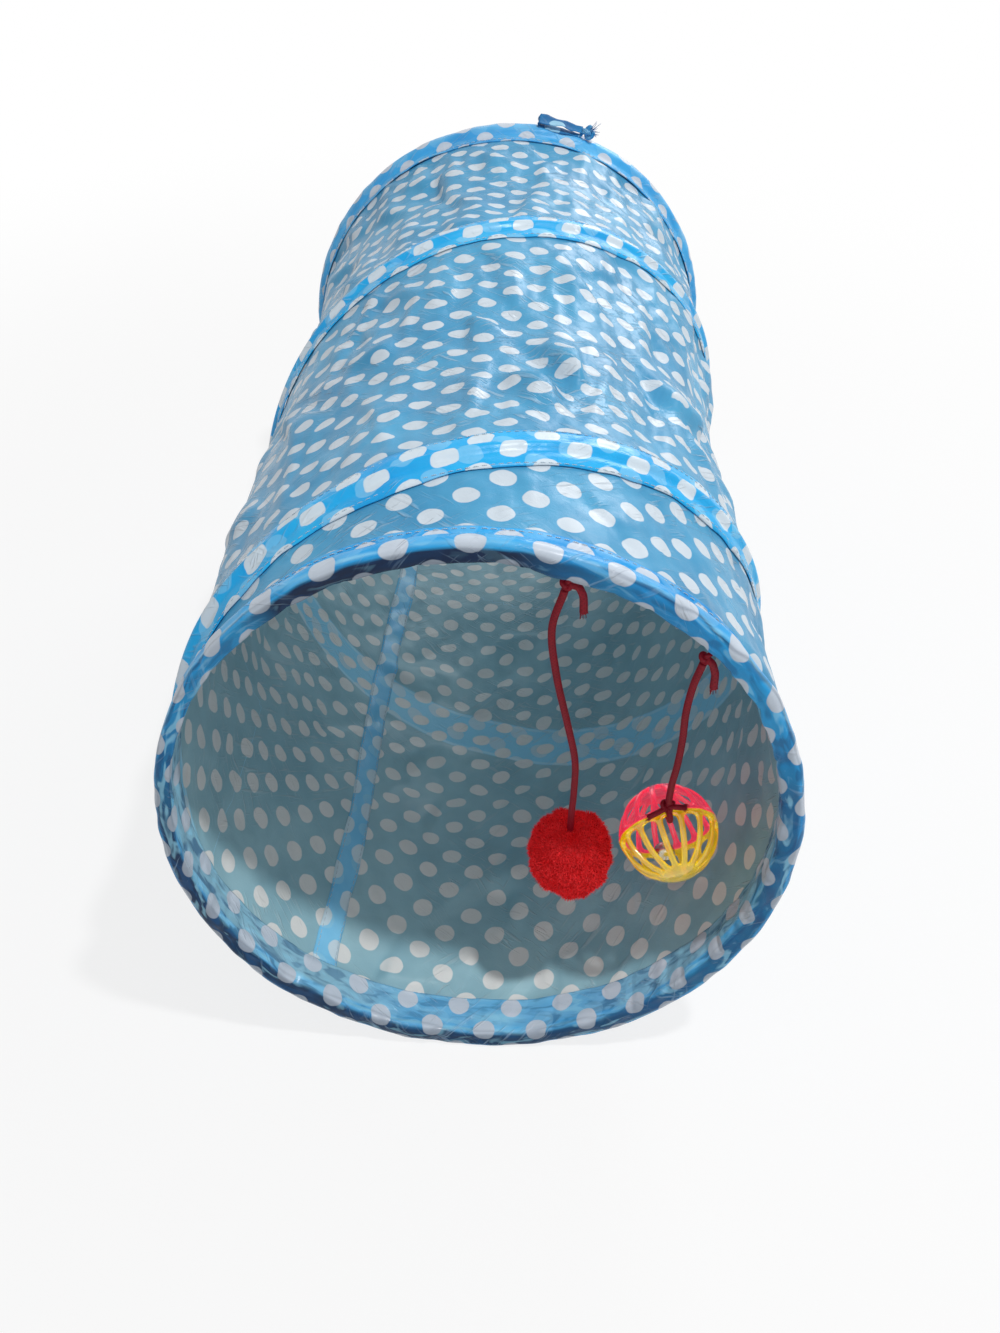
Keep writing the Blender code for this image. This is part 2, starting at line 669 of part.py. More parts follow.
def build_ball(yellow, pink, cord, pivot):
    """The lattice ball hangs by a cord tied round its equator."""
    frame_at_origin = ball_frame(Vector())
    middle_of_rim = BALL_RADIUS + (BALL_BEAD - BALL_WALL) / 2
    bar_half = math.hypot(BALL_BEAD_HALF, (BALL_WALL + BALL_BEAD) / 2)
    major = bar_half + CLEAR + TIE_CORD / 2
    knot_reach = middle_of_rim + major + TIE_CORD / 2
    knot_offset = frame_at_origin @ Vector((knot_reach, 0.0, 0.0))
    last_right, last_down = BALL_ROUTE[-1]
    knot_at = pivot["at"] + Vector((last_right, 0.0, -last_down - KNOT / 2 - CLEAR))
    centre = knot_at - knot_offset
    frame = ball_frame(centre)
    lattice_half("ball_half_yellow", 1, frame, yellow, pivot)
    lattice_half("ball_half_pink", -1, frame, pink, pivot)
    upright = Matrix.Rotation(math.pi / 2, 4, "X")
    loop_place = frame @ Matrix.Translation((middle_of_rim, 0.0, 0.0)) @ upright
    tie = torus("ball_tie", major, TIE_CORD / 2, 2 * CORD_SIDES, CORD_SIDES, cord, pivot, loop_place)
    join(tie, lathe("ball_tie_knot", ball_profile(KNOT / 2, KNOT_ROWS), KNOT_SIDES, cord, pivot,
                    Matrix.Translation(knot_at)))
    knot_inside = frame @ Vector((knot_reach - TIE_CORD / 4, 0.0, 0.0))
    for side, reach in (("left", TIE_LEFT_END), ("right", -TIE_RIGHT_END)):
        tip = frame @ Vector((knot_reach - TIE_CORD / 2, reach, 0.0))
        join(tie, rod("ball_tie_" + side, knot_inside, tip, TIE_CORD / 2, CORD_SIDES, cord, pivot))
    add_cord("ball_cord", smooth_route(hung_points(pivot, BALL_ROUTE), CORD_STEP), cord, pivot)
    return centre


def bell_half(name, sign, centre, material, pivot):
    """A thin half bowl, its mouth at the bell's middle."""
    tips = [math.pi / 2 * k / BELL_ROWS for k in range(BELL_ROWS + 1)]
    inside = BELL_RADIUS - BELL_WALL
    profile = [(BELL_RADIUS * math.cos(tip), BELL_RADIUS * math.sin(tip)) for tip in reversed(tips)]
    profile += [(inside * math.cos(tip), inside * math.sin(tip)) for tip in tips]
    profile = [(radius, max(height, CLEAR / 2)) for radius, height in profile]
    profile[0] = (0.0, BELL_RADIUS)
    profile[-1] = (0.0, inside)
    place = Matrix.Translation(centre) @ Matrix.Diagonal((1.0, sign, sign, 1.0))
    return lathe(name, profile, BELL_SIDES, material, pivot, place)


def build_bell(brass, steel, pivot, pellet_pivot):
    """Two half bowls, a loop on the upper one, a slot across the lower one, a pellet inside."""
    centre = pivot["at"]
    top = bell_half("bell_top", 1, centre, brass, pivot)
    bottom = bell_half("bell_bottom", -1, centre, brass, pivot)
    loop_at = centre + Vector((0.0, 0.0, BELL_RADIUS + BELL_LOOP - BELL_LOOP_SUNK))
    loop_place = Matrix.Translation(loop_at) @ Matrix.Rotation(math.pi / 2, 4, "X")
    loop = torus("bell_loop", BELL_LOOP, BELL_LOOP_WIRE / 2, 2 * WIRE_SIDES, WIRE_SIDES, brass, pivot,
                 loop_place)
    join(top, loop)
    half, thin = BELL_SLOT_LENGTH / 2, BELL_SLOT / 2
    corners = [(-half, -thin), (half, -thin), (half, thin), (-half, thin)]
    loops = [[centre - Vector((x, y, depth)) for x, y in corners]
             for depth in (BELL_RADIUS + BELL_SLOT, BELL_SLOT_TOP)]
    cut(bottom, sweep_loops("bell_slot", loops, False, brass, pivot))
    lathe("bell_pellet", ball_profile(PELLET_RADIUS, KNOT_ROWS), KNOT_SIDES, steel, pellet_pivot,
          Matrix.Translation(pellet_pivot["at"]))


def build_tie(material, pivot):
    """A flat loop of strap sewn to the rear ridge, its ends drawn into a knot."""
    along = LENGTH - WIRE_SPACING / 2
    top = wall_point(TIE_ANGLE, along, REST_LIFT + CLEAR)
    side = Vector((math.cos(TIE_ANGLE), 0.0, -math.sin(TIE_ANGLE)))
    up = outward(TIE_ANGLE)
    across = Vector((0.0, 1.0, 0.0))
    straight = (TIE_LENGTH - TIE_OPENING) / 2
    middle = []
    for end in (1, -1):
        for k in range(TIE_BEND_PARTS + 1):
            turn = math.pi * k / TIE_BEND_PARTS - math.pi / 2
            middle.append((end * (straight + TIE_OPENING / 2 * math.cos(turn)),
                           TIE_OPENING / 2 + TIE_STRAP / 2 + end * TIE_OPENING / 2 * math.sin(turn)))
    stations = []
    for k, (run, rise) in enumerate(middle):
        before, after = middle[k - 1], middle[(k + 1) % len(middle)]
        normal = Vector((after[1] - before[1], before[0] - after[0])).normalized() * TIE_STRAP / 2
        station = []
        for edge in (-TIE_WIDTH / 2, TIE_WIDTH / 2):
            station.append(tuple(top + side * (run + sign * normal.x) + up * (rise + sign * normal.y)
                                 + across * edge for sign in (1, -1)))
        stations.append(station)
    sweep_sheet("tie_loop", stations, True, material, pivot)
    knot_run = straight + TIE_OPENING / 2 + TIE_STRAP / 2 + CLEAR + TIE_KNOT / 2
    knot_place = (Matrix.Translation(top + side * knot_run + up * TIE_KNOT_RISE)
                  @ Matrix.Diagonal(TIE_KNOT_STRETCH).to_4x4())
    lathe("tie_knot", ball_profile(TIE_KNOT / 2, KNOT_ROWS), KNOT_SIDES, material, pivot, knot_place)


def make_pivot(name, at, parent=None):
    empty = bpy.data.objects.new(name, None)
    bpy.context.collection.objects.link(empty)
    empty.empty_display_size = 0.01
    if parent:
        empty.parent = parent["empty"]
        empty.location = at - parent["at"]
    return {"empty": empty, "at": at}


def build_all():
    clear_scene()
    cloth = make_material("dotted_cloth", (0.08, 0.38, 0.66), 0.45)
    lining = make_material("doubled_cloth", (0.03, 0.28, 0.62), 0.45)
    steel = make_material("spring_steel", (0.55, 0.56, 0.58), 0.30, 1.0)
    elastic = make_material("red_elastic", (0.45, 0.01, 0.03), 0.70)
    wool = make_material("red_pompom", (0.75, 0.01, 0.02), 0.95)
    yellow = make_material("clear_yellow", (0.85, 0.72, 0.05), 0.15, 0.0, 0.7)
    pink = make_material("clear_pink", (0.90, 0.08, 0.25), 0.15, 0.0, 0.7)
    brass = make_material("bell_metal", (0.75, 0.72, 0.68), 0.25, 1.0)

    body = make_pivot("tunnel", Vector())
    rear = make_pivot("rear_rim", Vector((0.0, LENGTH, 0.0)), body)
    pompom_hinge = make_pivot("pompom_hinge", knot_point(POMPOM_ANGLE), body)
    ball_hinge = make_pivot("ball_hinge", knot_point(BALL_ANGLE), body)

    build_tube(cloth, body)
    front_hem = build_hem("front_hem", False, lining, body)
    rear_hem = build_hem("rear_hem", True, lining, rear)
    build_seam(lining, body)
    build_casing(lining, body)
    build_hoop("front_hoop", 0.0, steel, body)
    build_hoop("rear_hoop", LENGTH, steel, rear)
    build_coil(steel, body)
    full = COIL_TURNS * 2 * math.pi
    build_ferrule("front_ferrule", WIRE_SPACING / 2, -STEP / 2, steel, body)
    build_ferrule("rear_ferrule", LENGTH - WIRE_SPACING / 2, full + STEP / 2, steel, rear)
    for hem, start, end, pivot in ((front_hem, 0.0, WAY_STEPS * STEP, body),
                                   (rear_hem, full - WAY_STEPS * STEP, full, rear)):
        loops = coil_loops(WIRE / 2 + CLEAR, WIRE_SIDES + 2, start, end)
        cut(hem, sweep_loops(hem.name + "_wire_way", loops, False, lining, pivot))

    build_anchor("pompom_anchor", POMPOM_ANGLE, front_hem, elastic, body)
    build_anchor("ball_anchor", BALL_ANGLE, front_hem, elastic, body)
    build_rim_knot("pompom_knot", POMPOM_ANGLE, pompom_hinge, elastic)
    build_rim_knot("ball_knot", BALL_ANGLE, ball_hinge, elastic)
    build_pompom(wool, elastic, pompom_hinge)
    ball_centre = build_ball(yellow, pink, elastic, ball_hinge)

    rest = BALL_RADIUS - BALL_WALL - BELL_RADIUS - 2 * CLEAR
    bell_slide = make_pivot("bell_slide", ball_centre - Vector((0.0, 0.0, rest)), ball_hinge)
    drop = BELL_RADIUS - BELL_WALL - PELLET_RADIUS - CLEAR
    pellet_slide = make_pivot("pellet_slide", bell_slide["at"] - Vector((0.0, 0.0, drop)), bell_slide)
    build_bell(brass, steel, bell_slide, pellet_slide)
    build_tie(lining, rear)

    # Stand the tunnel on the floor, with the middle of its length at the origin
    bpy.context.view_layer.update()
    ends = [(thing.matrix_world @ vert.co).y for thing in bpy.data.objects
            if thing.type == "MESH" and not thing.hide_render for vert in thing.data.vertices]
    body["empty"].location = (0.0, -(min(ends) + max(ends)) / 2, FLOOR)
    bpy.context.view_layer.update()
    for pivot in (pompom_hinge, ball_hinge, bell_slide, pellet_slide):
        print(pivot["empty"].name, [round(v, 5) for v in pivot["empty"].matrix_world.translation])


build_all()
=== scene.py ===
"""The looks of a pop-up cat tunnel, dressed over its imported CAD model.

Metres, in the CAD model's frame: the tunnel lies along +Y, its front opening faces -Y, +Z is up.
Points on the cloth are named as in the model: an angle from the top (clockwise seen from the
front), a distance behind the front wire and a lift off the cloth.
"""

import json
import math
import random

import bmesh
import bpy
import numpy as np
from mathutils import Matrix, Vector


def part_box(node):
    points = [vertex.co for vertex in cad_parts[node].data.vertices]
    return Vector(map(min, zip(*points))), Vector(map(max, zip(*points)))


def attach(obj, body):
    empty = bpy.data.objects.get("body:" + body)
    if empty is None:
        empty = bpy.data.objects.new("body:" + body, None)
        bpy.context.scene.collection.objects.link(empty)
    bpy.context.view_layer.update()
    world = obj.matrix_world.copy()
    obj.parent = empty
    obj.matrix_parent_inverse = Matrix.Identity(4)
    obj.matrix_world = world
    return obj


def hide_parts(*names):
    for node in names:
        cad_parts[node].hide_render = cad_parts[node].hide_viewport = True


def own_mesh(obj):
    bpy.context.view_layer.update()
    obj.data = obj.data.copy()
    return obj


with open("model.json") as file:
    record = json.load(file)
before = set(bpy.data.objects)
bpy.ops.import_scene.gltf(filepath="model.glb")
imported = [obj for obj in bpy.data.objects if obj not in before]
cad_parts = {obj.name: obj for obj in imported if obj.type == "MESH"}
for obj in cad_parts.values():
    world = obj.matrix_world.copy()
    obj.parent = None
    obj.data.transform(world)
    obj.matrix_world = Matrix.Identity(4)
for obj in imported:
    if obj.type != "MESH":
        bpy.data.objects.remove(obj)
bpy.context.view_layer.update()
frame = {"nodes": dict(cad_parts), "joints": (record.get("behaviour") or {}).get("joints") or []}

# Camera, fitted to the photograph
CAMERA_AT = Vector((0.0153, -0.4466, 0.459))
CAMERA_PITCH = math.radians(44.9)
CAMERA_YAW = math.radians(-1.7)
CAMERA_ROLL = math.radians(0.3)
FOCAL_PIXELS = 1050.0
IMAGE_HEIGHT = 1333.0
SENSOR_HEIGHT = 24.0

# Sizes of the tunnel, as in the CAD model
TUBE_RADIUS = 0.1204
LENGTH = 0.420
SIDES = 40
SLACK_DEPTH = 0.0065
LEAN_FRONT = math.radians(11.1)
LEAN_REAR = math.radians(0.6)
TURN_REAR = math.radians(4.6)
WIRE = 0.0016
COIL_TURNS = 2
COIL_START_ANGLE = math.radians(-108)
CASING_HALF = 0.0125
CASING_FOOT = 0.0045
CASING_RIDGE = 0.0034
HEM_EDGE = 0.0148
RAMP_END = 0.0068
RIDGE_REAR = 0.0045
RIDGE_FRONT = -0.0026
RIDGE_LIFT = 0.0043
HEM_FRONT = -0.0031
HEM_BACK = 0.0110
REAR_HEM_EDGE = 0.0162
FOLD_LIFT = -0.0028
INNER_LIFT = -0.0012
WIRE_LIFT = 0.0020
SEAM_ANGLE = math.radians(214)
SEAM_WIDTH = 0.0120
SEAM_SLANT = 0.0150
CLEAR = 0.0003

# Sizes of the toys, as in the CAD model
CORD = 0.0028
KNOT = 0.0052
TAIL_LENGTH = 0.0120
TAIL_LEAN = 0.0010
TOY_ALONG = 0.0010
POMPOM_ANGLE = math.radians(15)
BALL_ANGLE = math.radians(43.5)
POMPOM_WIDTH = 0.0365
POMPOM_HEIGHT = 0.0440
POMPOM_BORE_DEPTH = 0.0120
POMPOM_ASIDE = 0.0010
POMPOM_DROP = 0.1525
POMPOM_ROUTE = ((-0.0008, 0.004), (-0.0042, 0.021), (-0.0015, 0.0445), (0.0037, 0.070),
                (0.0075, 0.0905), (0.0081, 0.109), (0.0079, 0.1245), (0.0079, 0.1315))
BALL_ROUTE = ((-0.0006, 0.004), (-0.0024, 0.0145), (-0.0031, 0.0285), (-0.0025, 0.043),
              (-0.0026, 0.0575), (-0.0033, 0.070), (-0.0033, 0.0805))
BALL_RADIUS = 0.0206
BALL_WALL = 0.0018
BALL_BEAD = 0.0006
BALL_BEAD_HALF = 0.0016
RIBS = 14
RIB_WIDTH = 0.0024
WINDOW_TIP = 0.0014
BALL_AXIS = Vector((0.20, -0.966, -0.164)).normalized()
TIE_CORD = 0.0026
TIE_LEFT_END = 0.0085
TIE_RIGHT_END = 0.0068
TIED_TURN = math.radians(10)
BELL_RADIUS = 0.0043
BELL_WALL = 0.0004
BELL_SLOT = 0.0010
BELL_SLOT_LENGTH = 0.0069

# Tie loop on the rear rim, as in the CAD model
TIE_ANGLE = math.radians(13.5)
TIE_LENGTH = 0.0260
TIE_WIDTH = 0.0080
TIE_STRAP = 0.0008
TIE_OPENING = 0.0030
TIE_KNOT = 0.0072
TIE_KNOT_RISE = 0.0023

# Sizes that follow
STEP = 2 * math.pi / SIDES
PITCH = LENGTH / COIL_TURNS
HELD = CASING_HALF + 0.028
REST_LIFT = RIDGE_LIFT + 0.0003
AXIS_HEIGHT = (TUBE_RADIUS + REST_LIFT) * math.cos(STEP)
JOINTS = {joint["name"]: joint for joint in frame["joints"]}
POMPOM_HINGE = Vector(JOINTS["pompom_fore_aft"]["pos_m"])
BALL_HINGE = Vector(JOINTS["ball_fore_aft"]["pos_m"])
WIRE_Y = POMPOM_HINGE.y - TOY_ALONG - math.tan(LEAN_FRONT) * (POMPOM_HINGE.z - AXIS_HEIGHT)

# Where the cloth is divided: rigid with a rim outside these planes
FOLD_FROM = WIRE_Y + 0.0325
FOLD_TO = WIRE_Y + 0.3937

# Finer sizes of the cloth
CLOTH = 0.00035
FOOT_SOFT = 0.0010
SIM_COLUMNS = 192
SIM_ROWS = 108
CLOTH_COLUMNS = 2 * SIM_COLUMNS
CLOTH_ROWS = 2 * SIM_ROWS - 1
CLOTH_FIRST = RAMP_END + CLEAR
CLOTH_LAST = LENGTH - CLOTH_FIRST
HEM_COLUMNS = 560
CASING_COLUMNS = 620
SEAM_ROWS = 150
GIRTH = 2 * math.pi * TUBE_RADIUS

# The cloth is cut longer than the relaxed tunnel: its length in each metre of tunnel, front to rear
CUT_PLACES = (-0.02, 0.05, 0.09, 0.25, 0.30, 0.44)
CUT_RATES = (0.98, 0.98, 1.20, 1.27, 1.38, 1.40)

# Polka dots: spacing round the tunnel and along it, every other row shifted by half
DOT_ACROSS = 0.0244
DOT_ALONG = 0.0215
DOT_WIDTH = 0.0099
DOT_LENGTH = 0.0091


# Short helpers

def pairs_of(first, second):
    """A table of (first, second) pairs, each spread over the other's shape."""
    return np.stack(np.broadcast_arrays(first, second), axis=-1)


def walked_along(path):
    """Distance from the start of a line to each of its points."""
    steps = np.linalg.norm(np.diff(path, axis=0), axis=1)
    return np.concatenate([[0.0], np.cumsum(steps)])


def unit(vectors):
    """The same directions at length 1."""
    return vectors / np.maximum(np.linalg.norm(vectors, axis=-1, keepdims=True), 1e-12)


def eased(part):
    """0 to 1 with a soft start and end."""
    return part * part * (3 - 2 * part)


def full_circle(count):
    """Evenly spaced angles round a circle, with the first not repeated."""
    return 2 * math.pi * np.arange(count) / count


def closed_circle(count):
    """Evenly spaced angles round a circle, with the first repeated at the end."""
    return 2 * math.pi * np.arange(count + 1) / count


def outward(angle):
    """Directions away from the tunnel's axis."""
    return np.stack(np.broadcast_arrays(np.sin(angle), 0.0, np.cos(angle)), -1)


def add_object(name, data):
    thing = bpy.data.objects.new(name, data)
    bpy.context.scene.collection.objects.link(thing)
    return thing


# Points on the cloth

def shell(angle, along, lift):
    """Points on the round tunnel, flat along its foot and cut aslant at its ends."""
    angle, along, lift = np.broadcast_arrays(angle, along, lift)
    radius = TUBE_RADIUS + lift
    right = radius * np.sin(angle)
    low = -radius * math.cos(STEP)
    over = radius * np.cos(angle) - low
    up = low + (over + np.sqrt(over ** 2 + FOOT_SOFT ** 2)) / 2
    share = np.clip(along / LENGTH, 0.0, 1.0)
    lean = math.tan(LEAN_FRONT) * (1 - share) + math.tan(LEAN_REAR) * share
    turn = math.tan(TURN_REAR) * share
    return np.stack([right, WIRE_Y + along + lean * up + turn * right, AXIS_HEIGHT + up], axis=-1)


def slack(angle, along):
    """How far the cloth sags inward between the wires on either side of this point."""
    offset = (angle - COIL_START_ANGLE) % (2 * math.pi) / (2 * math.pi) * PITCH
    depth = np.zeros(np.broadcast(angle, along).shape)
    wires = [0.0, *(offset + turn * PITCH for turn in range(COIL_TURNS)), LENGTH]
    for low, high in zip(wires, wires[1:]):
        free = high - low - 2 * HELD
        inside = (free > 0) & (along > low + HELD) & (along < high - HELD)
        full = np.clip(free / (PITCH - 2 * HELD), 0.0, 1.0)
        place = (along - low - HELD) / np.where(free > 0, free, 1.0)
        depth = np.where(inside, SLACK_DEPTH * full * np.sin(math.pi * place) ** 2, depth)
    return depth


def cut_length(along):
    """Distance along the flat cloth, which has more length where it hangs slack."""
    fine = np.linspace(CUT_PLACES[0], CUT_PLACES[-1], 461)
    rate = np.interp(fine, CUT_PLACES, CUT_RATES)
    walked = np.concatenate([[0.0], np.cumsum((rate[1:] + rate[:-1]) / 2 * np.diff(fine))])
    return np.interp(along, fine, walked - np.interp(0.0, fine, walked))


def coil_place(angle, along):
    """Distance along the spring wire and distance behind it, measured to the nearest turn."""
    base = (angle - COIL_START_ANGLE) % (2 * math.pi)
    turn = np.clip(np.round((along / PITCH * 2 * math.pi - base) / (2 * math.pi)), 0, COIL_TURNS - 1)
    turned = base + 2 * math.pi * turn
    return turned * TUBE_RADIUS, along - PITCH * turned / (2 * math.pi)


class Ripple:
    """Smooth random values round a ring or along a line, from -1 to 1."""

    def __init__(self, seed, count):
        self.values = np.random.default_rng(seed).uniform(-1, 1, count)

    def at(self, share):
        place = np.asarray(share) * len(self.values)
        low = np.floor(place).astype(int)
        part = eased(place - low)
        values = self.values
        return values[low % len(values)] * (1 - part) + values[(low + 1) % len(values)] * part


class Relief:
    """Smooth random heights over the cloth, from -1 to 1, that join up round the tunnel."""

    def __init__(self, seed, around, along):
        self.values = np.random.default_rng(seed).uniform(-1, 1, (around, along + 2))

    def at(self, share_round, share_along):
        count, rows = self.values.shape
        across = np.asarray(share_round) * count
        down = np.clip(share_along, 0, 1) * (rows - 2)
        i, j = np.floor(across).astype(int), np.floor(down).astype(int)
        a, b = eased(across - i), eased(down - j)
        i, after = i % count, (i + 1) % count
        values = self.values
        return ((values[i, j] * (1 - a) + values[after, j] * a) * (1 - b)
                + (values[i, j + 1] * (1 - a) + values[after, j + 1] * a) * b)


class Crumple:
    """Facets tilted at random that meet in soft creases, as thin crushed cloth has them."""

    AT_ONCE = 20000

    def __init__(self, seed, count, tilt, soft, slant, stretch):
        rng = np.random.default_rng(seed)
        self.centres = np.stack([rng.uniform(0, GIRTH, count), rng.uniform(0, LENGTH, count)], 1)
        self.tilts = rng.normal(scale=tilt, size=(count, 2))
        self.soft, self.slant, self.stretch = soft, slant, stretch

    def at(self, around, along):
        around, along = np.broadcast_arrays(around, along)
        flat_around, flat_along = around.ravel(), along.ravel()
        height = np.zeros(len(flat_around))
        cosine, sine = math.cos(self.slant), math.sin(self.slant)
        for start in range(0, len(height), self.AT_ONCE):
            part = slice(start, start + self.AT_ONCE)
            x = (flat_around[part, None] - self.centres[:, 0] + GIRTH / 2) % GIRTH - GIRTH / 2
            y = flat_along[part, None] - self.centres[:, 1]
            distance = np.hypot(x * cosine + y * sine, (y * cosine - x * sine) / self.stretch)
            weight = np.exp((distance.min(1, keepdims=True) - distance) / self.soft)
            plane = x * self.tilts[:, 0] + y * self.tilts[:, 1]
            height[part] = (weight * plane).sum(1) / weight.sum(1)
        return height.reshape(around.shape)


# Meshes

def add_mesh(name, points, faces, materials, uvs=None, slots=None, turn_out=True):
    """A smooth mesh object; uvs maps a layer's name to one (u, v) pair per face corner."""
    mesh = bpy.data.meshes.new(name)
    mesh.from_pydata(np.asarray(points, float).tolist(), [], faces)
    for material in materials:
        mesh.materials.append(material)
    if slots is not None:
        mesh.polygons.foreach_set("material_index", np.asarray(slots, np.int32))
    for layer, pairs in (uvs or {}).items():
        mesh.uv_layers.new(name=layer).data.foreach_set("uv", np.asarray(pairs, np.float32).ravel())
    if turn_out:
        turned = bmesh.new()
        turned.from_mesh(mesh)
        bmesh.ops.recalc_face_normals(turned, faces=turned.faces)
        turned.to_mesh(mesh)
        turned.free()
    mesh.shade_smooth()
    mesh.update()
    return add_object(name, mesh)


def grid_quads(columns, rows, closed_columns, closed_rows):
    """Quads of a grid, by point and by place in a table that is one longer each way."""
    i, j = np.meshgrid(np.arange(columns if closed_columns else columns - 1),
                       np.arange(rows if closed_rows else rows - 1), indexing="ij")
    i, j = i.ravel(), j.ravel()
    after_i, after_j = (i + 1) % columns, (j + 1) % rows
    faces = np.stack([i * rows + j, after_i * rows + j, after_i * rows + after_j, i * rows + after_j], 1)
    first = i * (rows + 1) + j
    places = np.stack([first, first + rows + 1, first + rows + 2, first + 1], 1)
    return faces, places, j


def add_sheet(name, outer, inner, closed, materials, uvs):
    """A thin sheet from its outer and inner grids of points; materials are outside and inside.

    uvs maps a layer's name to a table of (u, v), one longer than the grid each way if closed.
    """
    columns, rows = outer.shape[:2]
    points = np.concatenate([outer, inner[:, ::-1]], axis=1)
    faces, places, row = grid_quads(columns, 2 * rows, closed, True)
    slots = ((row >= rows) & (row < 2 * rows - 1)).astype(int)
    layers = {}
    for layer, table in uvs.items():
        full = np.concatenate([table, table[:, ::-1], table[:, :1]], axis=1)
        layers[layer] = full.reshape(-1, 2)[places.ravel()]
    faces = faces.tolist()
    slots = slots.tolist()
    if not closed:
        for column in (0, columns - 1):
            base = column * 2 * rows
            for k in range(rows - 1):
                back = 2 * rows - 1 - k
                faces.append([base + k, base + k + 1, base + back - 1, base + back])
                slots.append(0)
        for layer, table in uvs.items():
            caps = []
            for column in (0, columns - 1):
                for k in range(rows - 1):
                    caps += [table[column, k], table[column, k + 1], table[column, k + 1], table[column, k]]
            layers[layer] = np.concatenate([layers[layer], np.array(caps)])
    return add_mesh(name, points.reshape(-1, 3), faces, materials, layers, slots)


def normals_of(grid, closed):
    """Outward unit normals of a grid of points, columns round the tunnel and rows along it."""
    if closed:
        around = np.roll(grid, -1, 0) - np.roll(grid, 1, 0)
    else:
        around = np.gradient(grid, axis=0)
    along = np.gradient(grid, axis=1)
    return unit(np.cross(around, along))


def resample(points, spacing):
    """Evenly spaced points on a line of points."""
    points = np.asarray(points, float)
    walked = walked_along(points)
    count = max(int(round(walked[-1] / spacing)), 2)
    marks = np.linspace(0.0, walked[-1], count + 1)
    return np.stack([np.interp(marks, walked, points[:, axis]) for axis in range(3)], 1)


def smooth_line(points, parts=20):
    """A smooth curve through the points, as the CAD model draws its cords."""
    points = [np.asarray(point, float) for point in points]
    padded = [2 * points[0] - points[1]] + points + [2 * points[-1] - points[-2]]
    fine = []
    for a, b, c, d in zip(padded, padded[1:], padded[2:], padded[3:]):
        for k in range(parts):
            t = k / parts
            fine.append(0.5 * (2 * b + (c - a) * t + (2 * a - 5 * b + 4 * c - d) * t * t
                               + (3 * b - a - 3 * c + d) * t ** 3))
    return np.array(fine + [points[-1]])


def tube_frames(path, closed=False):
    """Two unit vectors square to the path at each of its points, turning as little as possible."""
    if closed:
        ahead = np.roll(path, -1, 0) - np.roll(path, 1, 0)
    else:
        ahead = np.gradient(path, axis=0)
    ahead = unit(ahead)
    side = np.array(Vector(ahead[0]).orthogonal().normalized())
    sides = []
    for direction in ahead:
        side = unit(side - direction * (side @ direction))
        sides.append(side)
    sides = np.array(sides)
    return sides, np.cross(ahead, sides)


def tube_grid(path, radius, sides, closed=False):
    """Rings of points round a path; radius is a number or one per ring and side."""
    first, second = tube_frames(path, closed)
    turn = full_circle(sides)[None, :]
    radius = np.broadcast_to(radius, (len(path), sides))
    return (path[:, None] + first[:, None] * (np.cos(turn) * radius)[..., None]
            + second[:, None] * (np.sin(turn) * radius)[..., None])


class Parts:
    """Collects the points, faces, uvs and slots of several shapes for one mesh."""

    def __init__(self):
        self.points, self.faces, self.uvs, self.slots, self.count = [], [], [], [], 0

    def add(self, points, faces, uvs, slot=0):
        points = np.asarray(points, float).reshape(-1, 3)
        self.points.append(points)
        self.faces += [[index + self.count for index in face] for face in faces]
        self.uvs += list(uvs)
        self.slots += [slot] * len(faces)
        self.count += len(points)

    def add_tube(self, grid, distance, slot=0, closed=False):
        """A tube of rings, with rounded-off ends if it is open."""
        rings, sides = grid.shape[:2]
        faces, places, _ = grid_quads(rings, sides, closed, True)
        further = np.append(distance, 2 * distance[-1] - distance[-2])
        table = pairs_of(further[:, None], np.arange(sides + 1)[None, :] / sides)
        pairs = list(table.reshape(-1, 2)[places.ravel()])
        points = grid.reshape(-1, 3)
        faces = faces.tolist()
        if not closed:
            middles = np.array([grid[0].mean(0), grid[-1].mean(0)])
            points = np.concatenate([points, middles])
            for centre, start in ((rings * sides, 0), (rings * sides + 1, (rings - 1) * sides)):
                for k in range(sides):
                    faces.append([centre, start + k, start + (k + 1) % sides])
                    pairs += [np.array((0.0, 0.5))] * 3
        self.add(points, faces, pairs, slot)

    def build(self, name, materials, layer="thread", turn_out=True):
        points = np.concatenate(self.points)
        return add_mesh(name, points, self.faces, materials, {layer: np.array(self.uvs)}, self.slots,
                        turn_out)


# Materials

BRAID_PITCH = 0.0016
BRAID_STRANDS = 5


def srgb(red, green, blue):
    """A colour written as 0 to 255 on screen, as the linear values that a shader takes."""
    def linear(value):
        value /= 255
        return value / 12.92 if value <= 0.04045 else ((value + 0.055) / 1.055) ** 2.4
    return (linear(red), linear(green), linear(blue), 1.0)


def shade(colour, red, green, blue):
    """A colour with each of its primaries taken down to a share."""
    return (colour[0] * red, colour[1] * green, colour[2] * blue, 1.0)


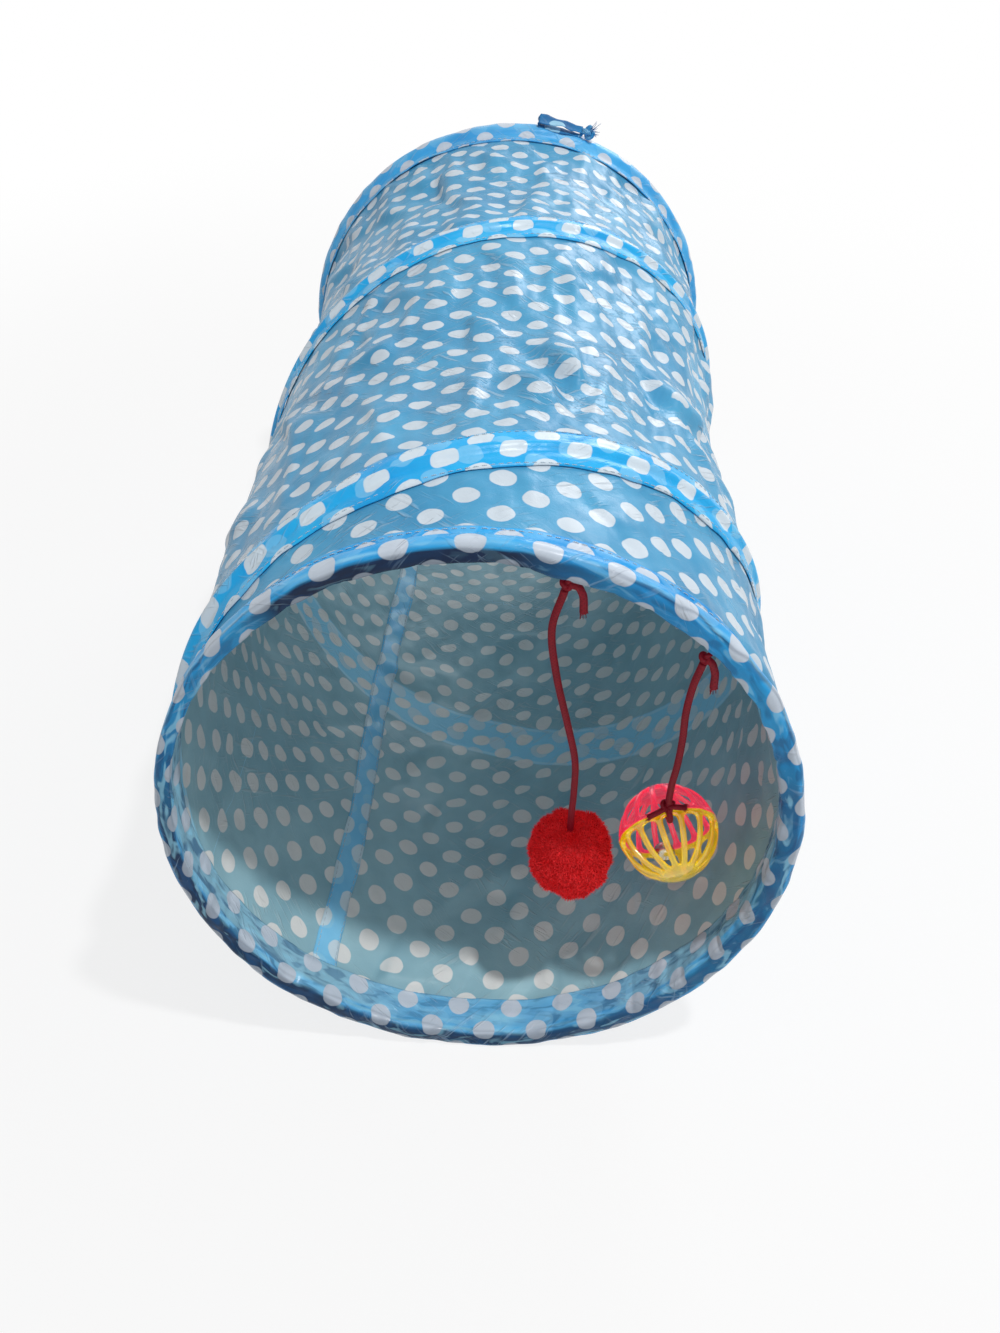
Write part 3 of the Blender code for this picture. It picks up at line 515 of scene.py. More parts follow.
class Shader:
    """A material with a Principled shader, and short ways to add nodes to it."""

    def __init__(self, name, roughness, metallic=0.0, **sockets):
        self.material = bpy.data.materials.new(name)
        self.material.use_nodes = True
        self.tree = self.material.node_tree
        self.principled = self.tree.nodes["Principled BSDF"]
        self.principled.inputs["Roughness"].default_value = roughness
        self.principled.inputs["Metallic"].default_value = metallic
        for socket, value in sockets.items():
            self.principled.inputs[socket.replace("_", " ")].default_value = value

    def node(self, kind, settings=None, **inputs):
        node = self.tree.nodes.new(kind)
        for key, value in (settings or {}).items():
            setattr(node, key, value)
        for key, value in inputs.items():
            self.feed(node.inputs[key.replace("_", " ")], value)
        return node

    def feed(self, socket, value):
        if isinstance(value, bpy.types.NodeSocket):
            self.tree.links.new(value, socket)
        else:
            socket.default_value = value

    def maths(self, operation, *values):
        node = self.tree.nodes.new("ShaderNodeMath")
        node.operation = operation
        for socket, value in zip(node.inputs, values):
            self.feed(socket, value)
        return node.outputs[0]

    def times(self, first, second):
        return self.maths("MULTIPLY", first, second)

    def mix(self, factor, first, second):
        node = self.tree.nodes.new("ShaderNodeMix")
        node.data_type = "RGBA"
        self.feed(node.inputs["Factor"], factor)
        self.feed(node.inputs[6], first)
        self.feed(node.inputs[7], second)
        return node.outputs[2]

    def ramp(self, value, low, high, to_low=0.0, to_high=1.0, smooth=False):
        settings = {"interpolation_type": "SMOOTHSTEP" if smooth else "LINEAR"}
        node = self.node("ShaderNodeMapRange", settings)
        for socket, given in zip(("Value", "From Min", "From Max", "To Min", "To Max"),
                                 (value, low, high, to_low, to_high)):
            self.feed(node.inputs[socket], given)
        return node.outputs["Result"]

    def split(self, vector):
        """The x, y and z of a vector."""
        return self.node("ShaderNodeSeparateXYZ", Vector=vector).outputs

    def uv(self, layer):
        return self.node("ShaderNodeUVMap", {"uv_map": layer}).outputs["UV"]

    def place(self):
        return self.node("ShaderNodeTexCoord").outputs["Object"]

    def noise(self, where, scale, detail=2.0, roughness=0.5, distortion=0.0, kind="FBM"):
        node = self.node("ShaderNodeTexNoise", {"noise_type": kind}, Vector=where, Scale=scale,
                         Detail=detail, Roughness=roughness, Distortion=distortion)
        return node.outputs["Fac"] if "Fac" in node.outputs else node.outputs[0]

    def vector(self, operation, first, second=None, scale=None):
        node = self.tree.nodes.new("ShaderNodeVectorMath")
        node.operation = operation
        self.feed(node.inputs[0], first)
        if second is not None:
            self.feed(node.inputs[1], second)
        if scale is not None:
            self.feed(node.inputs["Scale"], scale)
        return node.outputs[0]

    def scaled(self, vector, amounts):
        return self.node("ShaderNodeMapping", Vector=vector, Scale=amounts).outputs["Vector"]

    def bump(self, *layers):
        """Adds (height, distance, strength) layers, one over the other, to the shader's normal."""
        normal = None
        for height, distance, strength in layers:
            node = self.node("ShaderNodeBump", Height=height, Distance=distance, Strength=strength)
            if normal is not None:
                self.tree.links.new(normal, node.inputs["Normal"])
            normal = node.outputs["Normal"]
        self.tree.links.new(normal, self.principled.inputs["Normal"])

    def colour(self, value):
        self.feed(self.principled.inputs["Base Color"], value)

    def roughness(self, value):
        self.feed(self.principled.inputs["Roughness"], value)


def dots(shader, layer, shift, strain=0.0):
    """1 on the printed dots and 0 between them; shift moves the pattern across and along.

    strain is how far slack cloth carries the dots out of line, behind the front stretch.
    """
    where = shader.uv(layer)
    wobble = shader.noise(where, 170.0, 2.0)
    if strain:
        pull = shader.node("ShaderNodeTexNoise", Vector=where, Scale=42.0, Detail=1.0)
        off = shader.vector("SUBTRACT", pull.outputs["Color"], (0.5, 0.5, 0.5))
        amount = shader.ramp(shader.split(where)[1], 0.06, 0.15, 0.3 * strain, strain)
        where = shader.vector("ADD", where, shader.vector("SCALE", off, None, amount))
    folded = []
    for place, offset, pitch in zip(shader.split(where), shift, (DOT_ACROSS, DOT_ALONG)):
        moved = shader.maths("ADD", place, offset + 10 * pitch)
        folded.append(shader.maths("PINGPONG", moved, pitch / 2))
    across, along = folded
    near = []
    for x, y in ((across, along), (shader.maths("SUBTRACT", DOT_ACROSS / 2, across),
                                   shader.maths("SUBTRACT", DOT_ALONG / 2, along))):
        y = shader.times(y, DOT_WIDTH / DOT_LENGTH)
        near.append(shader.maths("SQRT", shader.maths("ADD", shader.times(x, x), shader.times(y, y))))
    rough_edge = shader.maths("MULTIPLY_ADD", wobble, 0.0010, -0.0005)
    nearest = shader.maths("ADD", shader.maths("MINIMUM", *near), rough_edge)
    return shader.ramp(nearest, DOT_WIDTH / 2 + 0.0002, DOT_WIDTH / 2 - 0.0003, 0.0, 1.0, True)


def rim_painted_shading(shader, dye, layer, zones):
    """Mixes in the rim's painted light: zones is the painted shade of its deep fold, its painted highlight,
    the painted shade of its pleats and the painted light on its lining.
    """
    deep, pale, pleat_shade, lining = zones
    amount = shader.split(shader.uv("zone"))
    dye = shader.mix(amount[0], dye, deep)
    dye = shader.mix(amount[1], dye, pale)
    # Crumpled along the rim: painted highlights where the cloth bends over, painted shade in its pleats
    more = shader.split(shader.uv("lining"))
    drawn = shader.scaled(shader.uv(layer), (75.0, 260.0, 1.0))
    rumple = shader.noise(drawn, 1.0, 1.5, 0.5, 0.9)
    # Painted light: the hem's inner layer takes a pale colour like the tunnel's inside
    dye = shader.mix(more[0], dye, lining)
    deeper = shader.ramp(rumple, 0.49, 0.38, 0.0, 0.85)
    dye = shader.mix(shader.times(deeper, more[1]), dye, pleat_shade)
    paler = shader.ramp(rumple, 0.56, 0.66, 0.0, 0.75)
    dye = shader.mix(shader.times(paler, more[1]), dye, pale)
    return dye, shader.ramp(amount[0], 0.0, 1.0, 1.0, 0.42)


def casing_seen_through(shader, dye, mask, ground, strength):
    """Lets the doubled cloth along the spring show through, lighter as painted light coming through it: its
    colour, its sewn edges, its dots.
    """
    off = shader.maths("ABSOLUTE", shader.split(shader.uv("casing"))[1])
    band = shader.ramp(off, CASING_HALF + 0.0006, CASING_HALF - 0.0006)
    from_edge = shader.maths("ABSOLUTE", shader.maths("SUBTRACT", off, CASING_HALF - 0.0012))
    edge = shader.ramp(from_edge, 0.0012, 0.0003)
    dye = shader.mix(shader.times(band, strength), dye, ground)
    dye = shader.mix(shader.times(edge, 0.50), dye, srgb(196, 232, 246))
    through = shader.times(dots(shader, "casing", CASING_SHIFT), band)
    return dye, shader.maths("MAXIMUM", mask, shader.times(through, 0.45))


def crease_glints(shader, where, layer):
    """Short streaks on two slants, in patches: painted glints along fine creases, also used as small ridges
    in the bump.
    """
    line = 0.0
    for number, (slant, long, wide) in enumerate(((0.75, 55.0, 420.0), (-0.60, 80.0, 560.0))):
        turned = shader.node("ShaderNodeVectorRotate", {"rotation_type": "Z_AXIS"},
                             Vector=shader.uv(layer), Angle=slant).outputs["Vector"]
        streak = shader.noise(shader.scaled(turned, (long, wide, 1.0)), 1.0, 1.0, 0.5, 0.8)
        patch = shader.ramp(shader.noise(where, 15.0 + 8 * number, 1.0), 0.46, 0.58)
        line = shader.maths("MAXIMUM", line, shader.times(shader.ramp(streak, 0.60, 0.72), patch))
    return line


def cloth_material(name, ground, deep, spot, layer, shift, ghost=None, casing=None, zones=None,
                   crease=1.0, gloss=0.36, strain=0.0):
    """Thin glossy polyester with white dots: blotchy dye, weave, fine creases, painted shade
    along its folds and painted glints along short creases.

    ghost is (layer, shift, strength) of dots that show through from the layer beneath. casing is
    the colour and strength of the doubled cloth that shows through along the spring, lighter as
    painted light coming through. zones is the rim's painted shade, painted highlight, painted shade
    in its pleats and painted light on its lining.
    """
    shader = Shader(name, gloss, 0.0, Specular_IOR_Level=0.25)
    where = shader.place()
    blotch = shader.ramp(shader.noise(where, 26.0, 3.0, 0.6), 0.32, 0.68)
    dye = shader.mix(blotch, ground, deep)
    mask = dots(shader, layer, shift, strain)
    if zones is not None:
        dye, dim = rim_painted_shading(shader, dye, layer, zones)
    if casing is not None:
        dye, mask = casing_seen_through(shader, dye, mask, *casing)
    if ghost is not None:
        under = shader.times(dots(shader, ghost[0], ghost[1]), ghost[2])
        dye = shader.mix(under, dye, srgb(156, 216, 244))
    # Painted shade along ridged fold lines, which also bump the cloth
    fold = shader.noise(shader.scaled(where, (1.0, 0.5, 1.0)), 48.0, 3.0, 0.5, 0.7,
                        "RIDGED_MULTIFRACTAL")
    dye = shader.mix(shader.ramp(fold, 0.35, 1.1, 0.0, 0.34 * crease), dye,
                     shade(ground, 0.45, 0.55, 0.62))
    # Painted glints: pale streaks along short creases
    line = crease_glints(shader, where, layer)
    dye = shader.mix(shader.times(line, 0.36 * crease), dye,
                     tuple(0.36 + 0.5 * value for value in ground[:3]) + (1.0,))
    grey = shader.ramp(shader.noise(where, 60.0, 2.0), 0.3, 0.7, 0.90, 1.0)
    spot_colour = shader.mix(grey, shade(spot, 0.82, 0.84, 0.88), spot)
    # Painted shade: the dots darken with the rim's deep fold
    if zones is not None:
        spot_colour = shader.mix(dim, shade(spot, 0.16, 0.20, 0.26), spot_colour)
    shader.colour(shader.mix(mask, dye, spot_colour))
    shader.roughness(shader.ramp(shader.noise(where, 34.0, 2.0), 0.35, 0.65, gloss - 0.12, gloss + 0.12))
    crinkle = shader.noise(where, 190.0, 3.0, 0.6, 0.4)
    threads = shader.scaled(shader.uv(layer), (3400.0, 3400.0, 1.0))
    weave = shader.node("ShaderNodeTexChecker", Vector=threads, Scale=1.0).outputs["Fac"]
    shader.bump((fold, 0.0015 * crease, 0.7), (line, 0.0006 * crease, 0.6),
                (crinkle, 0.0005 * crease, 0.35), (weave, 0.00003, 0.25))
    return shader.material


def thread_material(name, colour, dark):
    """Twisted sewing thread or frayed yarn, darker between its twists as painted shade."""
    shader = Shader(name, 0.8, 0.0, Sheen_Weight=0.2)
    twist = shader.node("ShaderNodeTexWave", {"wave_type": "BANDS", "bands_direction": "DIAGONAL"},
                        Vector=shader.scaled(shader.uv("thread"), (2600.0, 1.0, 1.0)), Scale=0.35)
    shader.colour(shader.mix(twist.outputs["Fac"], dark, colour))
    shader.bump((twist.outputs["Fac"], 0.00008, 0.5))
    return shader.material


def braid_material(name, colour, dark):
    """Braided elastic: fine slanted crossing strands with a satin shine, painted shade between the strands
    and a faint glow that is painted light.
    """
    shader = Shader(name, 0.50, 0.0, Specular_IOR_Level=0.22, Emission_Color=colour,
                    Emission_Strength=0.05)
    along, round_it, _ = shader.split(shader.uv("thread"))
    run = shader.times(along, 2 * math.pi / BRAID_PITCH)
    turn = shader.times(round_it, 2 * math.pi * BRAID_STRANDS)
    strands = []
    for operation in ("ADD", "SUBTRACT"):
        wave = shader.maths("SINE", shader.maths(operation, turn, run))
        strands.append(shader.ramp(wave, -0.4, 1.0))
    weave = shader.maths("MAXIMUM", *strands)
    worn = shader.ramp(shader.noise(shader.place(), 260.0), 0.3, 0.7, 0.7, 1.0)
    # Painted shade: darker between the strands
    tone = shader.times(shader.ramp(weave, 0.0, 1.0, 0.55, 1.0), worn)
    shader.colour(shader.mix(tone, dark, colour))
    shader.bump((weave, 0.00008, 0.4))
    return shader.material


def plastic_material(name, colour, deep, glow):
    """Clear tinted polystyrene: glossy, with faint flow marks of a deeper tint."""
    # Its glow is painted light, brightening the ball where it hangs in shade
    shader = Shader(name, 0.07, 0.0, Specular_IOR_Level=0.6, Coat_Weight=0.8, Coat_Roughness=0.03,
                    Transmission_Weight=0.80, IOR=1.50, Emission_Color=colour, Emission_Strength=glow)
    flow = shader.ramp(shader.noise(shader.place(), 130.0, 3.0, 0.55, 1.2), 0.36, 0.64)
    shader.colour(shader.mix(flow, deep, colour))
    shader.roughness(shader.ramp(shader.noise(shader.place(), 900.0, 2.0), 0.3, 0.7, 0.04, 0.11))
    shader.bump((shader.noise(shader.place(), 420.0, 2.0), 0.0004, 0.35))
    return shader.material


def steel_material(name, colour, roughness):
    """Drawn or plated metal with fine scratches and a little tarnish."""
    shader = Shader(name, roughness, 1.0)
    tarnish = shader.ramp(shader.noise(shader.place(), 320.0, 3.0), 0.35, 0.7)
    shader.colour(shader.mix(tarnish, colour, shade(colour, 0.62, 0.62, 0.62)))
    scratches = shader.noise(shader.scaled(shader.place(), (1.0, 12.0, 12.0)), 500.0, 2.0)
    shader.roughness(shader.ramp(scratches, 0.3, 0.7, roughness - 0.06, roughness + 0.14))
    shader.bump((scratches, 0.00004, 0.3))
    return shader.material


def pompom_material():
    """Fuzzy yarn: painted shade darkens it towards the roots, bright at the tips, in loose clumps; its red
    glow is painted light.
    """
    shader = Shader("pompom_yarn", 0.85, 0.0, Sheen_Weight=0.5, Sheen_Roughness=0.45,
                    Sheen_Tint=srgb(255, 70, 70), Emission_Color=srgb(255, 16, 28),
                    Emission_Strength=0.12)
    to_tip = shader.ramp(shader.split(shader.uv("thread"))[0], 0.0, 1.0, 0.30, 1.0)
    clump = shader.ramp(shader.noise(shader.place(), 230.0, 3.0, 0.65), 0.36, 0.62)
    tone = shader.times(to_tip, shader.ramp(clump, 0.0, 1.0, 0.62, 1.0))
    shader.colour(shader.mix(tone, srgb(150, 0, 8), srgb(255, 56, 62)))
    shader.bump((shader.noise(shader.place(), 900.0, 2.0), 0.0003, 0.5))
    return shader.material


# The dots' places: the row on the front ridge has one just left of the top
RIDGE_DOT_ANGLE = math.radians(-1.1)
HEM_SHIFT = (-(RIDGE_DOT_ANGLE - SEAM_ANGLE) % (2 * math.pi) * TUBE_RADIUS, 0.0)
TUBE_SHIFT = (HEM_SHIFT[0] + 0.0030, 0.0078)
CASING_SHIFT = (0.0070, 0.0030)
SEAM_SHIFT = (0.0, 0.0045)
DOT_STRAIN = 0.0050

OUTSIDE = cloth_material("dotted_cloth_outside", srgb(82, 166, 208), srgb(62, 142, 186),
                         srgb(202, 214, 224), "cloth", TUBE_SHIFT, crease=1.3, gloss=0.32,
                         strain=DOT_STRAIN)
# Painted light: the inside's pale ground and dots, and its lighter strip along the spring, stand for light
# coming through the thin cloth
INSIDE = cloth_material("dotted_cloth_inside", srgb(160, 200, 211), srgb(138, 180, 194),
                        srgb(228, 230, 228), "cloth", TUBE_SHIFT, casing=(srgb(146, 216, 246), 0.9),
                        crease=1.0, gloss=0.45, strain=DOT_STRAIN)
# The rim's colours: navy painted shade on the deep fold, a pale painted highlight, painted shade in the
# pleats and painted light on the lining
DOUBLED = cloth_material("doubled_cloth", srgb(50, 176, 240), srgb(32, 148, 218),
                         srgb(200, 211, 224), "cloth", HEM_SHIFT, ghost=("tunnel", TUBE_SHIFT, 0.20),
                         zones=(srgb(0, 34, 70), srgb(156, 220, 246), srgb(16, 80, 132),
                                srgb(150, 194, 210)),
                         crease=0.9, gloss=0.30, strain=0.0034)
DOUBLED_CASING = cloth_material("casing_cloth", srgb(40, 188, 246), srgb(24, 160, 228),
                                srgb(212, 226, 236), "casing", CASING_SHIFT,
                                ghost=("cloth", TUBE_SHIFT, 0.40), crease=1.2, gloss=0.30,
                                strain=0.0028)
# Painted light: the seam strip is paler than the doubled cloth, standing for light coming through it
SEAM_CLOTH = cloth_material("seam_cloth", srgb(142, 214, 250), srgb(116, 194, 238),
                            srgb(210, 230, 240), "cloth", SEAM_SHIFT,
                            ghost=("tunnel", TUBE_SHIFT, 0.60), crease=0.8, gloss=0.38)
TIE_CLOTH = cloth_material("tie_cloth", srgb(44, 140, 200), srgb(14, 70, 126),
                           srgb(150, 200, 226), "cloth", (0.004, 0.002), crease=0.8, gloss=0.55)
WHITE_THREAD = thread_material("stitching", srgb(215, 228, 236), srgb(140, 168, 186))
BLUE_THREAD = thread_material("frayed_thread", srgb(38, 120, 190), srgb(10, 50, 100))
# The elastic's faint glow is painted light
ELASTIC = braid_material("red_elastic", srgb(146, 12, 34), srgb(62, 2, 14))
# The clear plastic's glow is painted light
YELLOW = plastic_material("clear_yellow", srgb(252, 226, 36), srgb(236, 190, 12), 0.12)
PINK = plastic_material("clear_pink", srgb(255, 84, 118), srgb(242, 46, 88), 0.22)
BELL = steel_material("bell_metal", srgb(205, 204, 200), 0.18)
STEEL = steel_material("spring_steel", srgb(190, 192, 196), 0.28)
YARN = pompom_material()


# Placing the pieces

def keep_normals(mesh):
    """Stores each point's normal, so that a later cut doesn't show in the shading."""
    normals = np.zeros(len(mesh.vertices) * 3, np.float32)
    mesh.vertex_normals.foreach_get("vector", normals)
    layer = mesh.attributes.new("rest_normal", "FLOAT_VECTOR", "POINT")
    layer.data.foreach_set("vector", normals)


def use_kept_normals(mesh):
    normals = np.zeros(len(mesh.vertices) * 3, np.float32)
    mesh.attributes["rest_normal"].data.foreach_get("vector", normals)
    normals = unit(normals.reshape(-1, 3))
    mesh.normals_split_custom_set_from_vertices(normals.tolist())
    mesh.attributes.remove(mesh.attributes["rest_normal"])


def close_cut(work, level):
    """Closes a mesh where it was cut: a band between two large rings, a face on each small one."""
    open_edges = {edge for edge in work.edges if edge.is_boundary
                  and all(abs(vert.co.y - level) < 1e-5 for vert in edge.verts)}
    rings = []
    while open_edges:
        todo = [open_edges.pop()]
        ring = []
        while todo:
            edge = todo.pop()
            ring.append(edge)
            for vert in edge.verts:
                for other in vert.link_edges:
                    if other in open_edges:
                        open_edges.discard(other)
                        todo.append(other)
        across = [vert.co.x for edge in ring for vert in edge.verts]
        if max(across) - min(across) > TUBE_RADIUS:
            rings += ring
        elif len(ring) > 2:
            bmesh.ops.contextual_create(work, geom=ring)
    if rings:
        bmesh.ops.bridge_loops(work, edges=rings)


def divide(thing, node, slot):
    """Cuts a cloth piece in three: a collar at each rim and the middle."""
    keep_normals(thing.data)
    pieces = []
    for part, low, high, body in (("front", None, FOLD_FROM, "front"),
                                  ("middle", FOLD_FROM, FOLD_TO, "front"),
                                  ("rear", FOLD_TO, None, "rear_rim")):
        work = bmesh.new()
        work.from_mesh(thing.data)
        for level, inner in ((low, True), (high, False)):
            if level is not None:
                everything = work.verts[:] + work.edges[:] + work.faces[:]
                bmesh.ops.bisect_plane(work, geom=everything, dist=1e-7, plane_co=(0, level, 0),
                                       plane_no=(0, 1, 0), clear_inner=inner, clear_outer=not inner)
                close_cut(work, level)
        mesh = bpy.data.meshes.new(thing.name + "_" + part)
        work.to_mesh(mesh)
        work.free()
        for material in thing.data.materials:
            mesh.materials.append(material)
        use_kept_normals(mesh)
        piece = settle(add_object(mesh.name, mesh), body, slot, node)
        if part == "middle":
            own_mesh(piece)
        pieces.append(piece)
    bpy.data.objects.remove(thing, do_unlink=True)
    return pieces


def settle(thing, body, slot, *nodes):
    """Makes a piece ride on its body and hides the CAD nodes that it stands for; slot is not used."""
    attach(thing, body)
    if nodes:
        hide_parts(*nodes)
    return thing


def dress(node, material):
    """Gives a CAD node that stays in view a better material."""
    mesh = frame["nodes"][node].data
    mesh.materials.clear()
    mesh.materials.append(material)


# Camera, light and floor

def build_camera():
    flat = math.cos(CAMERA_PITCH)
    ahead = Vector((math.sin(CAMERA_YAW) * flat, math.cos(CAMERA_YAW) * flat, -math.sin(CAMERA_PITCH)))
    right = Vector((math.cos(CAMERA_YAW), -math.sin(CAMERA_YAW), 0.0))
    up = right.cross(ahead)
    rolled_right = math.cos(CAMERA_ROLL) * right + math.sin(CAMERA_ROLL) * up
    rolled_up = -math.sin(CAMERA_ROLL) * right + math.cos(CAMERA_ROLL) * up
    data = bpy.data.cameras.new("photo_camera")
    data.sensor_fit = "VERTICAL"
    data.sensor_height = SENSOR_HEIGHT
    data.lens = FOCAL_PIXELS / IMAGE_HEIGHT * SENSOR_HEIGHT
    data.clip_start = 0.01
    camera = add_object("photo_camera", data)
    turn = Matrix((rolled_right, rolled_up, -ahead)).transposed().to_4x4()
    camera.matrix_world = Matrix.Translation(CAMERA_AT) @ turn
    bpy.context.scene.camera = camera


# Lamps: name, place, what it points at, width and power
LAMPS = (("key", (0.445, -0.175, 1.37), (0.0, -0.19, 0.02), 0.08, 9.6),
         ("fill", (-0.90, -0.60, 0.90), (0.0, 0.0, 0.12), 0.90, 0.2),
         ("front", (0.10, -1.00, 0.80), (0.0, -0.10, 0.08), 0.80, 0.9),
         ("back", (0.55, 1.15, 0.75), (0.05, 0.05, 0.20), 0.60, 5.2))
SKY_LIGHT = 0.335
FLOOR_HALF = 3.0
FLOOR_WHITE_FROM = 0.30
FLOOR_WHITE_TO = 1.00
FLOOR_WHITE_LEAST = 0.80


def add_lamp(name, at, target, size, power):
    data = bpy.data.lights.new(name, "AREA")
    data.shape = "DISK"
    data.size = size
    data.energy = power
    lamp = add_object(name, data)
    lamp.location = at
    lamp.rotation_euler = (Vector(target) - Vector(at)).to_track_quat("-Z", "Y").to_euler()


def seen_directly(tree):
    """1 for rays from the camera, from glossy surfaces and through clear ones."""
    path = tree.nodes.new("ShaderNodeLightPath")
    value = path.outputs["Is Camera Ray"]
    for name in ("Is Glossy Ray", "Is Transmission Ray"):
        node = tree.nodes.new("ShaderNodeMath")
        node.operation = "MAXIMUM"
        tree.links.new(value, node.inputs[0])
        tree.links.new(path.outputs[name], node.inputs[1])
        value = node.outputs[0]
    return value


def build_studio():
    """A white surround and four lamps."""
    world = bpy.data.worlds.new("studio")
    bpy.context.scene.world = world
    world.use_nodes = True
    tree = world.node_tree
    background = tree.nodes["Background"]
    strength = tree.nodes.new("ShaderNodeMapRange")
    tree.links.new(seen_directly(tree), strength.inputs["Value"])
    strength.inputs["To Min"].default_value = SKY_LIGHT
    strength.inputs["To Max"].default_value = 1.0
    tree.links.new(strength.outputs["Result"], background.inputs["Strength"])
    background.inputs["Color"].default_value = (1.0, 1.0, 1.0, 1.0)
    for lamp in LAMPS:
        add_lamp(*lamp)
    bpy.context.scene.view_settings.view_transform = "Standard"


def build_floor():
    """A pale floor that takes the shadow and turns white away from the object."""
    half = FLOOR_HALF
    corners = [(-half, -half, 0), (half, -half, 0), (half, half, 0), (-half, half, 0)]
    shader = Shader("studio_floor", 0.9, 0.0)
    tree = shader.tree
    mottle = shader.noise(shader.place(), 3.0)
    shader.colour(shader.mix(mottle, (0.86, 0.86, 0.86, 1.0), (0.9, 0.9, 0.9, 1.0)))
    glow = shader.node("ShaderNodeEmission", Strength=1.0)
    glow.inputs["Color"].default_value = (1.0, 1.0, 1.0, 1.0)
    blend = tree.nodes.new("ShaderNodeMixShader")
    reach = shader.node("ShaderNodeVectorMath", {"operation": "LENGTH"},
                        Vector=shader.place()).outputs["Value"]
    white = shader.ramp(reach, FLOOR_WHITE_FROM, FLOOR_WHITE_TO, FLOOR_WHITE_LEAST, 1.0, True)
    tree.links.new(shader.times(seen_directly(tree), white), blend.inputs[0])
    tree.links.new(shader.principled.outputs[0], blend.inputs[1])
    tree.links.new(glow.outputs[0], blend.inputs[2])
    tree.links.new(blend.outputs[0], tree.nodes["Material Output"].inputs["Surface"])
    add_mesh("studio_floor", corners, [(0, 1, 2, 3)], [shader.material])


# Cords and toys

BRAID_SIDES = 20
FRAY_YARNS = 14
FRAY_RADIUS = 0.00013
FRAY_DEPTH = 0.0008


def braided(parts, path, radius, closed=False):
    """A round braid: strands that cross both ways stand a little proud."""
    walked = walked_along(path)
    tips = full_circle(BRAID_SIDES)[None, :]
    run = walked[:, None] * 2 * math.pi / BRAID_PITCH
    bump = np.maximum(np.sin(BRAID_STRANDS * tips + run), np.sin(BRAID_STRANDS * tips - run))
    radii = radius * (0.985 + 0.015 * bump)
    parts.add_tube(tube_grid(path, radii, BRAID_SIDES, closed), walked, closed=closed)


def frayed_end(parts, at, direction, radius, rng, length=0.0022):
    """Short loose yarns round a cut end."""
    direction = Vector(direction).normalized()
    side = direction.orthogonal().normalized()
    for _ in range(FRAY_YARNS):
        turn = rng.uniform(0, 2 * math.pi)
        reach = radius * math.sqrt(rng.uniform(0.05, 0.9))
        out = Matrix.Rotation(turn, 3, direction) @ side
        start = Vector(at) + out * reach - direction * FRAY_DEPTH
        tip = start + direction * (FRAY_DEPTH + length * rng.uniform(0.4, 1.0)) + out * rng.uniform(0, 0.0009)
        path = resample(np.array([start, (start + tip) / 2 + out * 0.0001, tip]), 0.0008)
        parts.add_tube(tube_grid(path, FRAY_RADIUS, 5), np.linspace(0, length, len(path)))


def hung_points(hinge, route):
    """A cord's route below its hinge, from the face of its rim knot."""
    points = [hinge + Vector((right, 0.0, -down)) for right, down in route]
    points[0] = hinge + (points[0] - hinge).normalized() * (KNOT / 2 + CLEAR)
    return points


def build_cord(name, points, body, node):
    path = resample(smooth_line(points), 0.00032)
    parts = Parts()
    braided(parts, path, CORD / 2)
    cord = parts.build(name, [ELASTIC])
    settle(cord, body, "red_elastic", node)


def knot_path(centre, size, turn, count=110):
    """An overhand knot's bight: a trefoil, flattened and turned."""
    t = full_circle(count)
    x = np.sin(t) + 2 * np.sin(2 * t)
    y = np.cos(t) - 2 * np.cos(2 * t)
    z = -1.1 * np.sin(3 * t)
    points = np.stack([x, y, z], 1) * size / 6
    return points @ np.array(turn.to_matrix()).T + np.array(centre)


def build_rim_knot(name, angle, hinge, body):
    """The knot under the hem that a cord hangs from, with its cut tail."""
    rng = random.Random(11)
    parts = Parts()
    turn = Vector((0.3, -1.0, 0.2)).to_track_quat("Z", "Y")
    braided(parts, knot_path(hinge, KNOT - 0.0012, turn), CORD / 2 * 0.62, closed=True)
    beside = Vector((math.cos(angle), 0.0, -math.sin(angle)))
    elbow = hinge + beside * (KNOT / 2 + CORD)
    shoulder = hinge + beside * (KNOT / 2 + CORD * 0.40) - Vector((0.0, 0.0, 0.0003))
    past_elbow = elbow - beside * 0.0004 - Vector((0.0, 0.0, 0.0018))
    bend = elbow + Vector((TAIL_LEAN * 0.6, 0.0, -0.0048))
    end = elbow + Vector((TAIL_LEAN, 0.0, -TAIL_LENGTH + 0.001))
    path = resample(smooth_line([hinge + beside * 0.0006, shoulder, past_elbow, bend, end]), 0.0004)
    widening = np.linspace(1.0, 1.12, len(path))[:, None] * CORD / 2 * 0.95
    parts.add_tube(tube_grid(path, widening, BRAID_SIDES), np.linspace(0, TAIL_LENGTH, len(path)))
    frayed_end(parts, end, (0.1, 0.0, -1.0), CORD / 2, rng)
    settle(parts.build(name, [ELASTIC]), body, "red_elastic", name)


FIBRES = 26000
FIBRE_THICK = 0.00016
FIBRE_LENGTHS = (0.0016, 0.0029)
FIBRE_LEAN = 0.60
FIBRE_BEND = 0.0003
CLUMPS = 80
CLUMP_HEIGHT = 0.0017
DIMPLE_DEPTH = 0.0040
POMPOM_HALF = np.array([POMPOM_WIDTH / 2, POMPOM_WIDTH / 2, POMPOM_HEIGHT / 2])
CORD_ENTRY = Vector((-0.06, -0.22, 1.0)).normalized()


def dimple(directions):
    """How deep the pompom is drawn in where the cord enters it."""
    near = np.clip((directions @ np.array(CORD_ENTRY) - 0.86) / 0.14, 0, 1)
    return DIMPLE_DEPTH * near ** 2


def lumps(directions, clumps):
    """How far the yarn stands out over its clumps, and lies back between them."""
    return CLUMP_HEIGHT * (np.exp(-((1 - directions @ clumps.T) / 0.018) ** 2).max(1) - 0.55)


